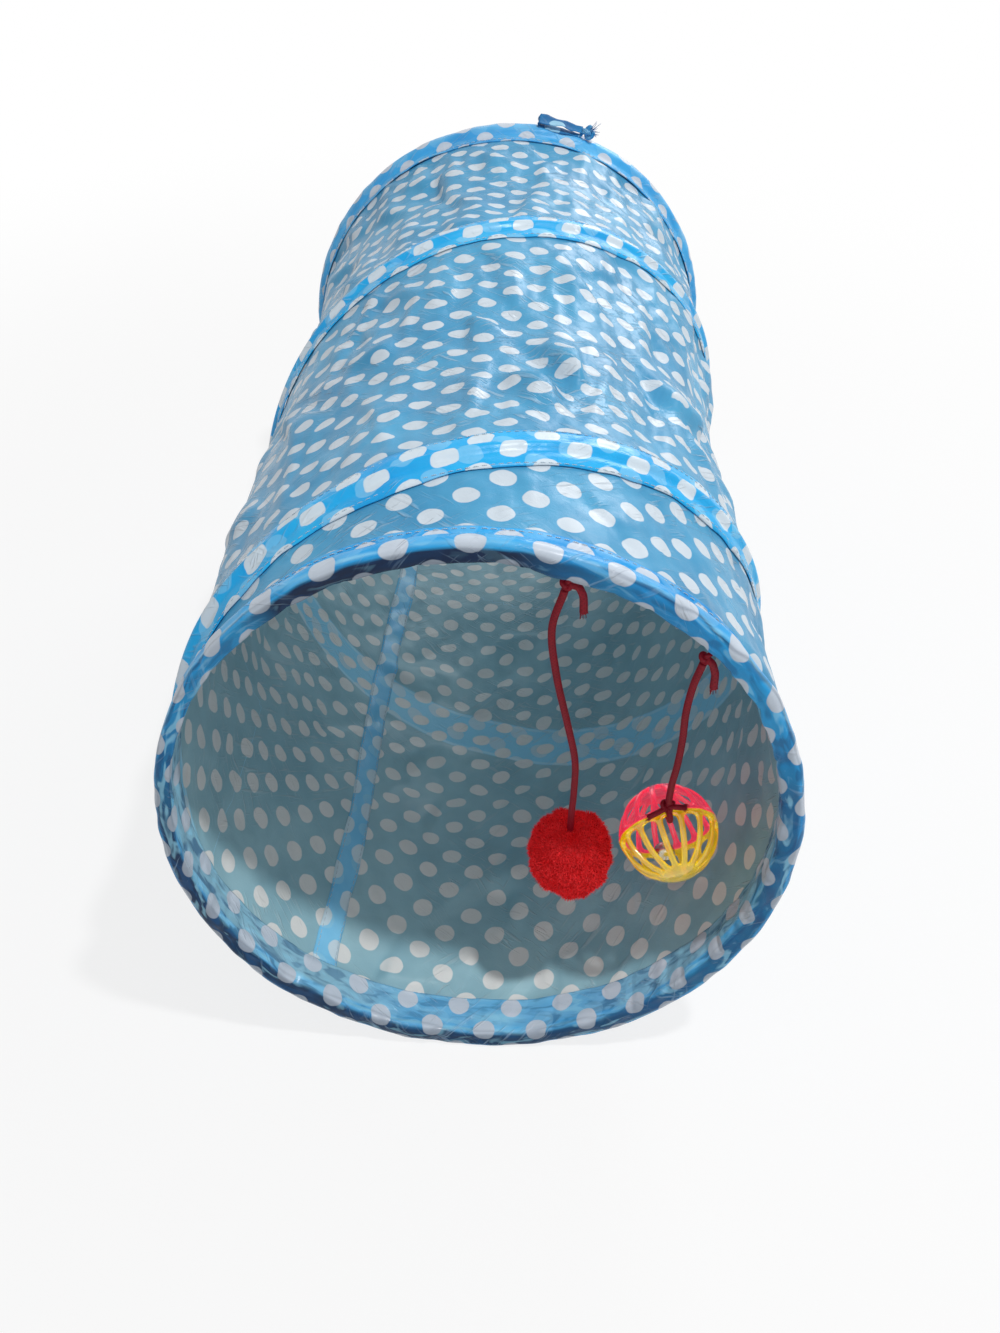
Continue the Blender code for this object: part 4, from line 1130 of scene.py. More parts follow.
def add_core(parts, centre, clumps):
    """The solid heart of the pompom, just under the tips of its fibres."""
    core = bmesh.new()
    bmesh.ops.create_icosphere(core, subdivisions=5, radius=1.0)
    out = unit(np.array([vert.co for vert in core.verts]))
    faces = [[vert.index for vert in face.verts] for face in core.faces]
    core.free()
    depth = 0.0016 + dimple(out) - lumps(out, clumps)
    parts.add(out * (POMPOM_HALF - depth[:, None]) + centre, faces,
              [np.array((0.25, 0.5))] * (3 * len(faces)))


def add_fibres(parts, centre, clumps, rng):
    """Thousands of short three-sided fibres that lean and bend at random."""
    out = unit(rng.normal(size=(FIBRES, 3)))
    lean = unit(out + rng.normal(scale=FIBRE_LEAN, size=(FIBRES, 3)))
    root = out * (POMPOM_HALF - 0.0019 - dimple(out)[:, None] + lumps(out, clumps)[:, None]) + centre
    long = rng.uniform(*FIBRE_LENGTHS, (FIBRES, 1))
    side = unit(np.cross(lean, rng.normal(size=(FIBRES, 3))))
    other = np.cross(lean, side)
    bend = side * rng.normal(scale=FIBRE_BEND, size=(FIBRES, 1))
    points = [root + (side * math.cos(turn) + other * math.sin(turn)) * FIBRE_THICK
              for turn in (0.0, 2 * math.pi / 3, 4 * math.pi / 3)]
    waist = root + lean * long * 0.6 + bend * 0.4
    points += [waist + side * FIBRE_THICK * 0.8, waist - side * FIBRE_THICK * 0.8, root + lean * long + bend]
    faces, uvs = [], []
    corner = [np.array((value, 0.5)) for value in (0.1, 0.1, 0.1, 0.7, 0.7, 1.0)]
    shape = ((0, 1, 3), (1, 4, 3), (1, 2, 4), (2, 0, 3), (2, 3, 4), (3, 4, 5))
    for k in range(FIBRES):
        for face in shape:
            faces.append([6 * k + index for index in face])
            uvs += [corner[index] for index in face]
    parts.add(np.stack(points, 1), faces, uvs)


def build_pompom():
    """A core with a dimple at the cord, and thousands of short fibres on it."""
    centre = np.array(POMPOM_HINGE + Vector((POMPOM_ROUTE[-1][0] + POMPOM_ASIDE, 0.0, -POMPOM_DROP)))
    rng = np.random.default_rng(7)
    clumps = unit(rng.normal(size=(CLUMPS, 3)))
    parts = Parts()
    add_core(parts, centre, clumps)
    add_fibres(parts, centre, clumps, rng)
    fuzz = parts.build("pompom_fuzz", [YARN], turn_out=False)
    settle(fuzz, "pompom_swing", "pompom_yarn", "pompom")


def ball_turn():
    """Z along the ball's axis to its yellow pole, X to the tied point on its equator."""
    up = Vector((0.0, 0.0, 1.0))
    top = (up - up.dot(BALL_AXIS) * BALL_AXIS).normalized()
    tied = math.cos(TIED_TURN) * top + math.sin(TIED_TURN) * BALL_AXIS.cross(top)
    return Matrix((tied, BALL_AXIS.cross(tied), BALL_AXIS)).transposed().to_4x4()


MIDDLE_OF_RIM = BALL_RADIUS + (BALL_BEAD - BALL_WALL) / 2
BAR_HALF = math.hypot(BALL_BEAD_HALF, (BALL_WALL + BALL_BEAD) / 2)
TIE_MAJOR = BAR_HALF + CLEAR + TIE_CORD / 2
KNOT_REACH = MIDDLE_OF_RIM + TIE_MAJOR + TIE_CORD / 2
BALL_KNOT_AT = BALL_HINGE + Vector((BALL_ROUTE[-1][0], 0.0, -BALL_ROUTE[-1][1] - KNOT / 2 - CLEAR))
BALL_CENTRE = BALL_KNOT_AT - ball_turn() @ Vector((KNOT_REACH, 0.0, 0.0))
BALL_PLACE = Matrix.Translation(BALL_CENTRE) @ ball_turn()
RIM_ROW = 2
WINDOW_ROWS = 5
LAST_OPEN_ROW = RIM_ROW + WINDOW_ROWS
RIB_SWELL = 1.12


def half_ball_rows():
    """The latitudes of a half ball's rows: rim, windows, cap."""
    rim = BALL_BEAD_HALF / BALL_RADIUS
    cap = math.acos(RIBS * (RIB_WIDTH + WINDOW_TIP) / (2 * math.pi * BALL_RADIUS))
    open_part = [rim + (cap - rim) * k / WINDOW_ROWS for k in range(1, WINDOW_ROWS + 1)]
    return [0.0, rim * 0.5, rim] + open_part + [cap + (math.pi / 2 - cap) * part for part in (0.3, 0.65)]


def half_ball_points(sign, latitudes):
    """Outer and inner rows of two points a rib, then the two poles."""
    points = []
    for skin in (0, 1):
        for row, latitude in enumerate(latitudes):
            radius = BALL_RADIUS + (-BALL_WALL if skin else (BALL_BEAD if row <= RIM_ROW else 0.0003))
            level = max(radius * math.sin(latitude), CLEAR / 2)
            reach = math.sqrt(radius ** 2 - level ** 2)
            half = RIB_SWELL * RIB_WIDTH / 2 / reach if row <= LAST_OPEN_ROW else math.pi / RIBS / 2
            for rib in range(RIBS):
                middle = 2 * math.pi * (rib + 0.5) / RIBS
                for turn in (middle - half, middle + half):
                    points.append((reach * math.cos(turn), reach * math.sin(turn), sign * level))
    points += [(0.0, 0.0, sign * (BALL_RADIUS + 0.0002)), (0.0, 0.0, sign * (BALL_RADIUS - BALL_WALL))]
    return [BALL_PLACE @ Vector(point) for point in points]


def build_ball_half(name, sign, material, finish, node):
    """Half of the lattice ball: rim, ribs and cap, rounded off by subdivision."""
    latitudes = half_ball_rows()
    points = half_ball_points(sign, latitudes)
    rows, across = len(latitudes), 2 * RIBS
    poles = len(points) - 2

    def spot(skin, row, column):
        return skin * rows * across + row * across + column % across

    def face(skin, row, column):
        return (spot(skin, row, column), spot(skin, row, column + 1),
                spot(skin, row + 1, column + 1), spot(skin, row + 1, column))

    def wall_along(row, column):
        return (spot(0, row, column), spot(0, row + 1, column),
                spot(1, row + 1, column), spot(1, row, column))

    def wall_across(row, column):
        return (spot(0, row, column), spot(0, row, column + 1),
                spot(1, row, column + 1), spot(1, row, column))

    faces = []
    for column in range(across):
        gap = column % 2 == 1
        for row in range(rows - 1):
            if gap and RIM_ROW <= row < LAST_OPEN_ROW:
                faces += [wall_along(row, column), wall_along(row, column + 1)]
            else:
                faces += [face(0, row, column), face(1, row, column)]
        faces += [wall_across(row, column) for row in [0] + ([RIM_ROW, LAST_OPEN_ROW] if gap else [])]
        faces += [(spot(skin, rows - 1, column), spot(skin, rows - 1, column + 1), poles + skin)
                  for skin in (0, 1)]
    thing = add_mesh(name, points, faces, [material])
    creases = thing.data.attributes.new("crease_edge", "FLOAT", "EDGE")
    sharp = [0.55 if max(edge.vertices) < 2 * rows * across
             and all((index % (rows * across)) // across == 0 for index in edge.vertices) else 0.0
             for edge in thing.data.edges]
    creases.data.foreach_set("value", sharp)
    rounded = thing.modifiers.new("rounded", "SUBSURF")
    rounded.levels = 3
    rounded.render_levels = 3
    settle(thing, "ball_swing", finish, node)


def build_ball_tie():
    """The elastic tied round the ball's rim: a loop, its knot and two loose ends."""
    rng = random.Random(5)
    parts = Parts()
    t = full_circle(64)
    ring = np.stack([MIDDLE_OF_RIM + TIE_MAJOR * np.cos(t), 0 * t, TIE_MAJOR * np.sin(t)], 1)
    place = np.array(BALL_PLACE)
    ring = ring @ place[:3, :3].T + place[:3, 3]
    braided(parts, ring, TIE_CORD / 2, closed=True)
    turn = Vector((0.15, -1.0, 0.45)).to_track_quat("Z", "Y")
    braided(parts, knot_path(BALL_KNOT_AT, KNOT, turn), TIE_CORD / 2 * 0.66, closed=True)
    for reach, drop, ahead in ((TIE_LEFT_END, -0.0022, 0.0020), (-TIE_RIGHT_END, -0.0010, 0.0016)):
        start = BALL_PLACE @ Vector((KNOT_REACH - TIE_CORD / 4, 0.0, 0.0))
        middle = BALL_PLACE @ Vector((KNOT_REACH + 0.0004, reach * 0.5, ahead))
        tip = BALL_PLACE @ Vector((KNOT_REACH - TIE_CORD / 2 + drop * 0.4, reach, ahead))
        path = resample(smooth_line([start, middle, tip]), 0.0004)
        braided(parts, path, TIE_CORD / 2 * 0.9)
        frayed_end(parts, tip, tip - middle, TIE_CORD / 2, rng, length=0.0014)
    settle(parts.build("ball_tie_cord", [ELASTIC]), "ball_swing", "red_elastic", "ball_tie")


BELL_ROWS = 10
BELL_SIDES = 48
BELL_RIM = 0.00022
BELL_LOOP = 0.0013
BELL_LOOP_WIRE = 0.00035


def bell_centre():
    low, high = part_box("bell_bottom")
    return Vector(((low.x + high.x) / 2, (low.y + high.y) / 2, low.z + BELL_RADIUS))


def bell_profile():
    """A half bell as (radius, height): down its outside, round its rolled rim and up its inside."""
    def quarter(radius):
        turns = [math.pi / 2 * k / BELL_ROWS for k in range(BELL_ROWS + 1)]
        return [(radius * math.cos(turn), radius * math.sin(turn)) for turn in turns]

    inside = BELL_RADIUS - BELL_WALL
    rolled = [(BELL_RADIUS + BELL_RIM, 0.00032), (BELL_RADIUS + BELL_RIM, CLEAR / 2), (inside, CLEAR / 2)]
    return ([(0.0, BELL_RADIUS)] + quarter(BELL_RADIUS)[-2:0:-1] + rolled + quarter(inside)[1:-1]
            + [(0.0, inside)])


def cut_bell_slot(bell, centre):
    half, thin = BELL_SLOT_LENGTH / 2, BELL_SLOT / 2
    corners = [(-half, -thin), (half, -thin), (half, thin), (-half, thin)]
    levels = (-BELL_RADIUS - BELL_SLOT, -BELL_RADIUS * 0.4)
    points = [centre + Vector((x, y, level)) for level in levels for x, y in corners]
    sides = [(k, (k + 1) % 4, (k + 1) % 4 + 4, k + 4) for k in range(4)]
    cutter = add_mesh("bell_slot", points, [(0, 1, 2, 3), (4, 5, 6, 7)] + sides, [])
    cut = bell.modifiers.new("slot", "BOOLEAN")
    cut.operation = "DIFFERENCE"
    cut.object = cutter
    apply_modifiers(bell)
    bpy.data.objects.remove(cutter, do_unlink=True)


def add_bell_loop(centre):
    t = full_circle(28)
    height = BELL_RADIUS + BELL_LOOP - 0.0003 + BELL_LOOP * np.sin(t)
    loop = np.stack([BELL_LOOP * np.cos(t), 0 * t, height], 1) + np.array(centre)
    parts = Parts()
    parts.add_tube(tube_grid(loop, BELL_LOOP_WIRE, 10, True), np.linspace(0, 0.008, len(t)), closed=True)
    settle(parts.build("bell_loop", [BELL]), "bell", "bell_metal")


def build_bell(name, sign, node):
    """A half of the bell with a rolled rim; the lower one has its slot, the upper one its loop."""
    centre = bell_centre()
    profile = bell_profile()
    points = [centre + Vector((0.0, 0.0, sign * profile[0][1]))]
    for radius, height in profile[1:-1]:
        for turn in full_circle(BELL_SIDES).tolist():
            points.append(centre + Vector((radius * math.cos(turn), radius * math.sin(turn), sign * height)))
    points.append(centre + Vector((0.0, 0.0, sign * profile[-1][1])))
    quads, _, _ = grid_quads(len(profile) - 2, BELL_SIDES, False, True)
    faces = (quads + 1).tolist()
    last = len(points) - 1
    for k in range(BELL_SIDES):
        after = (k + 1) % BELL_SIDES
        faces.append([0, 1 + k, 1 + after])
        faces.append([last, last - BELL_SIDES + k, last - BELL_SIDES + after])
    bell = add_mesh(name, points, faces, [BELL])
    if sign < 0:
        cut_bell_slot(bell, centre)
    else:
        add_bell_loop(centre)
    bell.data.shade_smooth()
    bell.data.set_sharp_from_angle(angle=math.radians(40))
    settle(bell, "bell", "bell_metal", node)


def apply_modifiers(thing):
    graph = bpy.context.evaluated_depsgraph_get()
    mesh = bpy.data.meshes.new_from_object(thing.evaluated_get(graph))
    thing.modifiers.clear()
    thing.data = mesh


# Cloth

class Surface:
    """The settled cloth: its outer points and normals, read at any angle and distance."""

    def __init__(self, points):
        self.points = points
        self.normals = normals_of(points, True)

    def at(self, angle, along, lift):
        angle, along, lift = np.broadcast_arrays(angle, along, lift)
        column = (angle - SEAM_ANGLE) % (2 * math.pi) / (2 * math.pi) * CLOTH_COLUMNS
        row = np.clip((along - CLOTH_FIRST) / (CLOTH_LAST - CLOTH_FIRST), 0, 1) * (CLOTH_ROWS - 1)
        i = np.floor(column).astype(int)
        j = np.clip(np.floor(row).astype(int), 0, CLOTH_ROWS - 2)
        a, b = (column - i)[..., None], (row - j)[..., None]
        i, after = i % CLOTH_COLUMNS, (i + 1) % CLOTH_COLUMNS

        def read(table):
            return (table[i, j] * (1 - a) * (1 - b) + table[after, j] * a * (1 - b)
                    + table[i, j + 1] * (1 - a) * b + table[after, j + 1] * a * b)

        return read(self.points) + unit(read(self.normals)) * lift[..., None]


def cloth_angles(columns):
    return SEAM_ANGLE + 2 * math.pi * np.arange(columns) / columns


def cloth_alongs(rows):
    return np.linspace(CLOTH_FIRST, CLOTH_LAST, rows)


def hold_weights(angle, along):
    """1 where hems or the casing hold the cloth, falling to 0 beside them."""
    _, behind = coil_place(angle, along)
    to_casing = np.abs(behind) - CASING_HALF
    to_hem = np.minimum(along - HEM_EDGE, LENGTH - REAR_HEM_EDGE - along)
    return np.clip(1 - np.minimum(to_casing, to_hem) / 0.004, 0, 1)


SIM_SCALE = 10.0
SIM_FRAMES = 26
SIM_LOOSE_ROUND = 1.012
SIM_LOOSE_ALONG = 1.035
SIM_TWIST = 0.0030
MOST_OUT = 0.0026
MOST_IN = 0.0110
MOST_ASIDE = 0.006
LEAST_HEIGHT = 0.0012
SWELL = 0.0045


# Thin polyester: it hardly stretches, and it bends with ease
CLOTH_FEEL = {"quality": 6, "mass": 0.06, "tension_stiffness": 40, "compression_stiffness": 22,
              "shear_stiffness": 16, "bending_stiffness": 0.12, "tension_damping": 8,
              "compression_damping": 8, "shear_damping": 8, "bending_damping": 0.8,
              "air_damping": 2.0, "pin_stiffness": 20}


def simulate(start, rest, held):
    """Lets cloth that is cut a little large buckle between what holds it."""
    columns, rows = start.shape[:2]
    faces, _, _ = grid_quads(columns, rows, True, False)
    thing = add_mesh("cloth_simulation", (start * SIM_SCALE).reshape(-1, 3), faces.tolist(), [])
    thing.shape_key_add(name="Basis")
    key = thing.shape_key_add(name="rest")
    key.data.foreach_set("co", (rest * SIM_SCALE).astype(np.float32).ravel())
    key.value = 0.0
    group = thing.vertex_groups.new(name="held")
    flat = held.ravel()
    for index in np.nonzero(flat > 0.01)[0]:
        group.add([int(index)], float(flat[index]), "REPLACE")
    modifier = thing.modifiers.new("cloth", "CLOTH")
    settings = modifier.settings
    for setting, value in CLOTH_FEEL.items():
        setattr(settings, setting, value)
    settings.vertex_group_mass = "held"
    settings.rest_shape_key = key
    settings.effector_weights.gravity = 0.35
    modifier.collision_settings.use_collision = False
    modifier.collision_settings.use_self_collision = False
    modifier.point_cache.frame_start = 1
    modifier.point_cache.frame_end = SIM_FRAMES
    scene = bpy.context.scene
    for step in range(1, SIM_FRAMES + 1):
        scene.frame_set(step)
    graph = bpy.context.evaluated_depsgraph_get()
    settled = thing.evaluated_get(graph).to_mesh()
    points = np.zeros(len(settled.vertices) * 3, np.float32)
    settled.vertices.foreach_get("co", points)
    thing.evaluated_get(graph).to_mesh_clear()
    scene.frame_set(1)
    bpy.data.objects.remove(thing, do_unlink=True)
    return points.reshape(start.shape).astype(float) / SIM_SCALE


def cap_moves(points, angle, along):
    """Keeps the cloth between its own cylinder and the most that it may sag."""
    pushed = swell(angle, along)
    base = shell(angle, along, SWELL * pushed)
    deepest = MOST_IN * (1 - 0.8 * pushed)
    out = outward(angle)
    move = points - base
    radial = (move * out).sum(-1)
    limit = np.where(radial > 0, MOST_OUT, deepest)
    over = limit * np.tanh(radial / limit)
    side = move - radial[..., None] * out
    reach = np.linalg.norm(side, axis=-1, keepdims=True)
    side = side * np.minimum(1.0, MOST_ASIDE / np.maximum(reach, 1e-9))
    capped = base + out * over[..., None] + side
    capped[..., 2] = np.maximum(capped[..., 2], LEAST_HEIGHT)
    return capped


def looseness(angle, along):
    """How slack the cloth is: drawn smooth at the front and on the left, crushed behind and below."""
    degrees = np.degrees(angle) % 360
    marks = [0, 20, 32, 60, 100, 140, 180, 212, 240, 270, 310, 340, 360]
    near = np.interp(degrees, marks, [0.35, 0.45, 0.8, 0.8, 0.6, 0.8, 1.0, 0.7, 0.25, 0.25, 0.35, 0.3, 0.35])
    far = np.interp(degrees, marks, [1.0, 1.1, 1.1, 1.0, 0.9, 0.9, 1.0, 0.8, 0.5, 0.7, 0.95, 1.0, 1.0])
    share = np.clip((along - 0.06) / 0.09, 0, 1)
    return near * (1 - share) + far * share


def creases(angle, along):
    """Diagonal folds between the wires and crushed facets, deeper where the cloth is free."""
    around = (angle - SEAM_ANGLE) % (2 * math.pi) / (2 * math.pi)
    share = along / LENGTH
    warp = 0.012 * Relief(5, 11, 7).at(around, share)
    depth = np.zeros(np.broadcast(angle, along).shape)
    for seed, count, rows, slope, amount in ((1, 40, 3, 9.0, 0.0024), (2, 52, 4, 16.0, 0.0017),
                                             (3, 46, 4, -13.0, 0.0014), (4, 90, 8, 24.0, 0.0008)):
        ridge = 0.55 - np.abs(Relief(seed, count, rows).at(around + warp + along * slope / count, share))
        strength = np.clip(0.25 + Relief(seed + 20, 9, 5).at(around, share), 0, 1)
        depth = depth + amount * ridge * strength
    length_round = around * GIRTH
    depth = depth + Crumple(81, 420, 0.10, 0.0019, 0.6, 2.0).at(length_round, along)
    return depth * looseness(angle, along)


def finer(table, closed):
    """Twice as many rows, the new ones on smooth curves through the given ones."""
    if closed:
        before, after, beyond = np.roll(table, 1, 0), np.roll(table, -1, 0), np.roll(table, -2, 0)
        first = table
    else:
        padded = np.concatenate([2 * table[:1] - table[1:2], table, 2 * table[-1:] - table[-2:-1]])
        before, first, after, beyond = padded[:-3], padded[1:-2], padded[2:-1], padded[3:]
    middle = (9 * (first + after) - before - beyond) / 16
    fine = np.empty((len(first) + len(middle),) + table.shape[1:])
    fine[0::2], fine[1::2] = first, middle
    return fine if closed else np.concatenate([fine, table[-1:]])


def swell(angle, along):
    """1 where the first turn of the spring pushes the cloth outward, at the upper left."""
    degrees = (np.degrees(angle) + 180) % 360 - 180
    across = np.exp(-((degrees + 64) / 27) ** 2)
    start = np.clip((along - 0.010) / 0.026, 0, 1)
    end = np.clip((0.215 - along) / 0.070, 0, 1)
    return across * start * start * (3 - 2 * start) * end * end * (3 - 2 * end)


def settle_cloth():
    """The cloth as it comes to rest: sagging, buckled by its slack, then creased more finely."""
    angle = cloth_angles(SIM_COLUMNS)[:, None]
    along = cloth_alongs(SIM_ROWS)[None, :]
    held = hold_weights(angle, along)
    free = 1 - held
    pushed = swell(angle, along)
    sag = slack(angle, along) * (1 - pushed) - SWELL * pushed
    start = shell(angle, along, -sag + free * (0.5 * creases(angle, along) - 0.0006))
    middle = LENGTH / 2
    twist = SIM_TWIST / TUBE_RADIUS * np.sin(3 * math.pi * along / LENGTH)
    rest_along = middle + (along - middle) * SIM_LOOSE_ALONG
    rest = shell(angle + twist, rest_along, -sag + TUBE_RADIUS * (SIM_LOOSE_ROUND - 1))
    start = simulate(start, rest, held)
    points = finer(start, True)
    points = finer(points.transpose(1, 0, 2), False).transpose(1, 0, 2)
    angle = cloth_angles(CLOTH_COLUMNS)[:, None]
    along = cloth_alongs(CLOTH_ROWS)[None, :]
    free = 1 - hold_weights(angle, along)
    points = points + outward(angle) * (free * 0.6 * creases(angle, along))[..., None]
    return Surface(cap_moves(points, angle, along))


def build_cloth(surface):
    """The tunnel's cloth, printed as cut, with an outside and an inside."""
    columns = np.arange(CLOTH_COLUMNS + 1)
    rows = cloth_alongs(CLOTH_ROWS)
    angle = SEAM_ANGLE + 2 * math.pi * columns / CLOTH_COLUMNS
    around = columns / CLOTH_COLUMNS * GIRTH
    cloth_uv = pairs_of(around[:, None], cut_length(rows)[None, :])
    casing_uv = np.stack(coil_place(angle[:, None], rows[None, :]), -1)
    cloth = add_sheet("tunnel_cloth", surface.points, surface.points - surface.normals * CLOTH, True,
                      [OUTSIDE, INSIDE], {"cloth": cloth_uv, "casing": casing_uv})
    return divide(cloth, "fabric_tube", "dotted_cloth")


def hem_profile(sewn_at):
    """Middle line of the folded hem, from the sewn edge outside round to the sewn edge inside."""
    corners = [(sewn_at, 0.0007), (RAMP_END + 0.0010, 0.0008), (RIDGE_REAR - 0.0002, RIDGE_LIFT * 0.86),
               ((RIDGE_REAR + RIDGE_FRONT) / 2, RIDGE_LIFT + 0.0003),
               (RIDGE_FRONT + 0.0008, RIDGE_LIFT * 0.95),
               (HEM_FRONT + 0.0003, RIDGE_LIFT * 0.55), (HEM_FRONT + 0.0003, 0.0004),
               (HEM_FRONT + 0.0005, FOLD_LIFT * 0.7), (RIDGE_FRONT + 0.0010, FOLD_LIFT),
               (RIDGE_REAR - 0.0006, FOLD_LIFT * 0.92), (HEM_BACK, INNER_LIFT - 0.0003),
               (sewn_at, INNER_LIFT)]
    points = smooth_line([(x, y, 0.0) for x, y in corners], 8)
    return resample(points, 0.0006)[:, :2]


def around_rim(angle, marks, values):
    """A value chosen at some angles round the rim, in degrees from -180 to 180, and even between them."""
    return np.interp((np.degrees(angle) + 180) % 360 - 180, marks, values)


def fold_drop(angle):
    """How much lower the fold hangs than in the CAD model: drawn up at the left, loose at the right."""
    return around_rim(angle, [-180, -130, -105, -72, -50, 56, 74, 100, 122, 150, 180],
                      [0.0, 0.0, 0.0013, 0.0015, 0.0, 0.0, -0.0016, -0.0026, -0.0012, 0.0, 0.0])


def tightness(angle):
    """1 where the fold is drawn tight round the wire, at the top left, and 0 where it is loose."""
    return around_rim(angle, [-180, -92, -78, -60, 6, 12, 180], [0.0, 0.0, 0.5, 1.0, 1.0, 0.0, 0.0])


def painted_shade_share(angle):
    """How much painted shade the gathered face takes: nearly navy at the top left, the left and below."""
    return around_rim(angle, [-180, -92, -80, -64, -42, -34, 6, 18, 28, 62, 78, 140, 158, 180],
                      [0.95, 0.95, 0.70, 0.3, 0.3, 1.0, 1.0, 0.5, 0.15, 0.15, 0.6, 0.7, 0.9, 0.95])


def painted_highlight_share(angle):
    """How much painted highlight the fold's lower edge takes: most at the upper right."""
    return around_rim(angle, [-180, -100, -66, -42, -34, 8, 20, 60, 80, 150, 180],
                      [0.75, 0.7, 0.6, 0.6, 0.2, 0.2, 0.95, 0.95, 0.35, 0.45, 0.75])


def tuck_heights(share, rng):
    """Short folds across the rim at uneven distances, as depths below 0."""
    tucks = np.zeros(len(share))
    place = 0.0
    while place < GIRTH - 0.012:
        place += rng.uniform(0.008, 0.026)
        off = (share * GIRTH - place + GIRTH / 2) % GIRTH - GIRTH / 2
        width = rng.uniform(0.0008, 0.0018)
        tucks -= rng.uniform(0.4, 1.0) * np.exp(-(off / width) ** 2)
    return tucks


class Rim:
    """A hem's folded profile, and the distances along it that its shape and its colours share."""

    def __init__(self, rear, seed):
        self.rear, self.seed = rear, seed
        self.sewn_at = REAR_HEM_EDGE if rear else HEM_EDGE
        self.profile = hem_profile(self.sewn_at)
        self.walked = walked_along(self.profile)
        self.whole = self.walked[-1]
        from_ridge = np.abs(self.profile[:, 0] - (RIDGE_FRONT + 0.0020)) + (self.profile[:, 1] < 0)
        self.crest = self.walked[np.argmin(from_ridge)]
        self.bottom = self.walked[np.argmin(self.profile[:, 1])]
        self.face_from, self.face_to = self.crest + 0.0021, self.bottom - 0.0006
        self.share = full_circle(HEM_COLUMNS) / (2 * math.pi)

    def placed(self, inward):
        """Distance behind the front wire of a place this far in from the hem's own wire."""
        return LENGTH - inward if self.rear else inward


def hem_grids(rim):
    """Outer and inner points of a hem: ridge over the wires, gathered front, slack inner layer."""
    profile, walked, share, seed = rim.profile, rim.walked, rim.share, rim.seed
    crest, bottom, whole = rim.crest, rim.bottom, rim.whole
    angle = full_circle(HEM_COLUMNS)
    # How much each point of the profile takes part in the ruffles: none at the seams, most at the fold
    loose = np.interp(walked, [0.0, 0.004, crest, rim.face_to, bottom + 0.004, whole - 0.002, whole],
                      [0.1, 0.35, 0.35, 1.0, 1.0, 0.8, 0.2])
    low = np.interp(walked, [crest, bottom, bottom + 0.005, whole], [0.0, 1.0, 1.0, 0.1])
    calm = around_rim(angle, [-180, -110, -90, 20, 45, 75, 180], [1.0, 1.0, 0.35, 0.35, 0.6, 1.0, 1.0])
    wave, second, third = (calm * Ripple(seed + k, count).at(share) for k, count in enumerate((38, 64, 150)))
    creased, puckers = Relief(seed + 3, 26, 13), Relief(seed + 4, 120, 10)
    tucks = calm * tuck_heights(share, random.Random(seed))
    tight = tightness(angle)
    drop = fold_drop(angle) + 0.0014 * tight
    front = np.clip((HEM_BACK - profile[:, 0]) / (HEM_BACK - RIDGE_REAR), 0, 1)
    outer, inner = [], []
    for k, (along, lift) in enumerate(profile):
        before, after = profile[max(k - 1, 0)], profile[min(k + 1, len(profile) - 1)]
        side = unit(np.array((before[1] - after[1], after[0] - before[0])))
        part = walked[k] / whole
        relief = (0.00060 * creased.at(share, part) + 0.00040 * puckers.at(share, part)) * (0.4 + 0.6 * calm)
        inward = np.clip((walked[k] - rim.face_from) / 0.006, 0, 1)
        shift_along = loose[k] * (0.0005 * wave + 0.0003 * third) - 0.0008 * inward * tucks
        shift_along = shift_along + 0.0010 * front[k] * tight
        shift_lift = loose[k] * (0.0007 * second + 0.0003 * third) - 0.0010 * inward * tucks + low[k] * drop
        for grid, off in ((outer, CLOTH), (inner, -CLOTH)):
            distance = rim.placed(along + shift_along + side[0] * (off + relief))
            grid.append(shell(angle, distance, lift + shift_lift + side[1] * (off + relief)))
    outer, inner = np.stack(outer, 1), np.stack(inner, 1)
    for grid, least in ((outer, 0.0002), (inner, 0.0004)):
        grid[..., 2] = np.maximum(grid[..., 2], least)
    return outer, inner


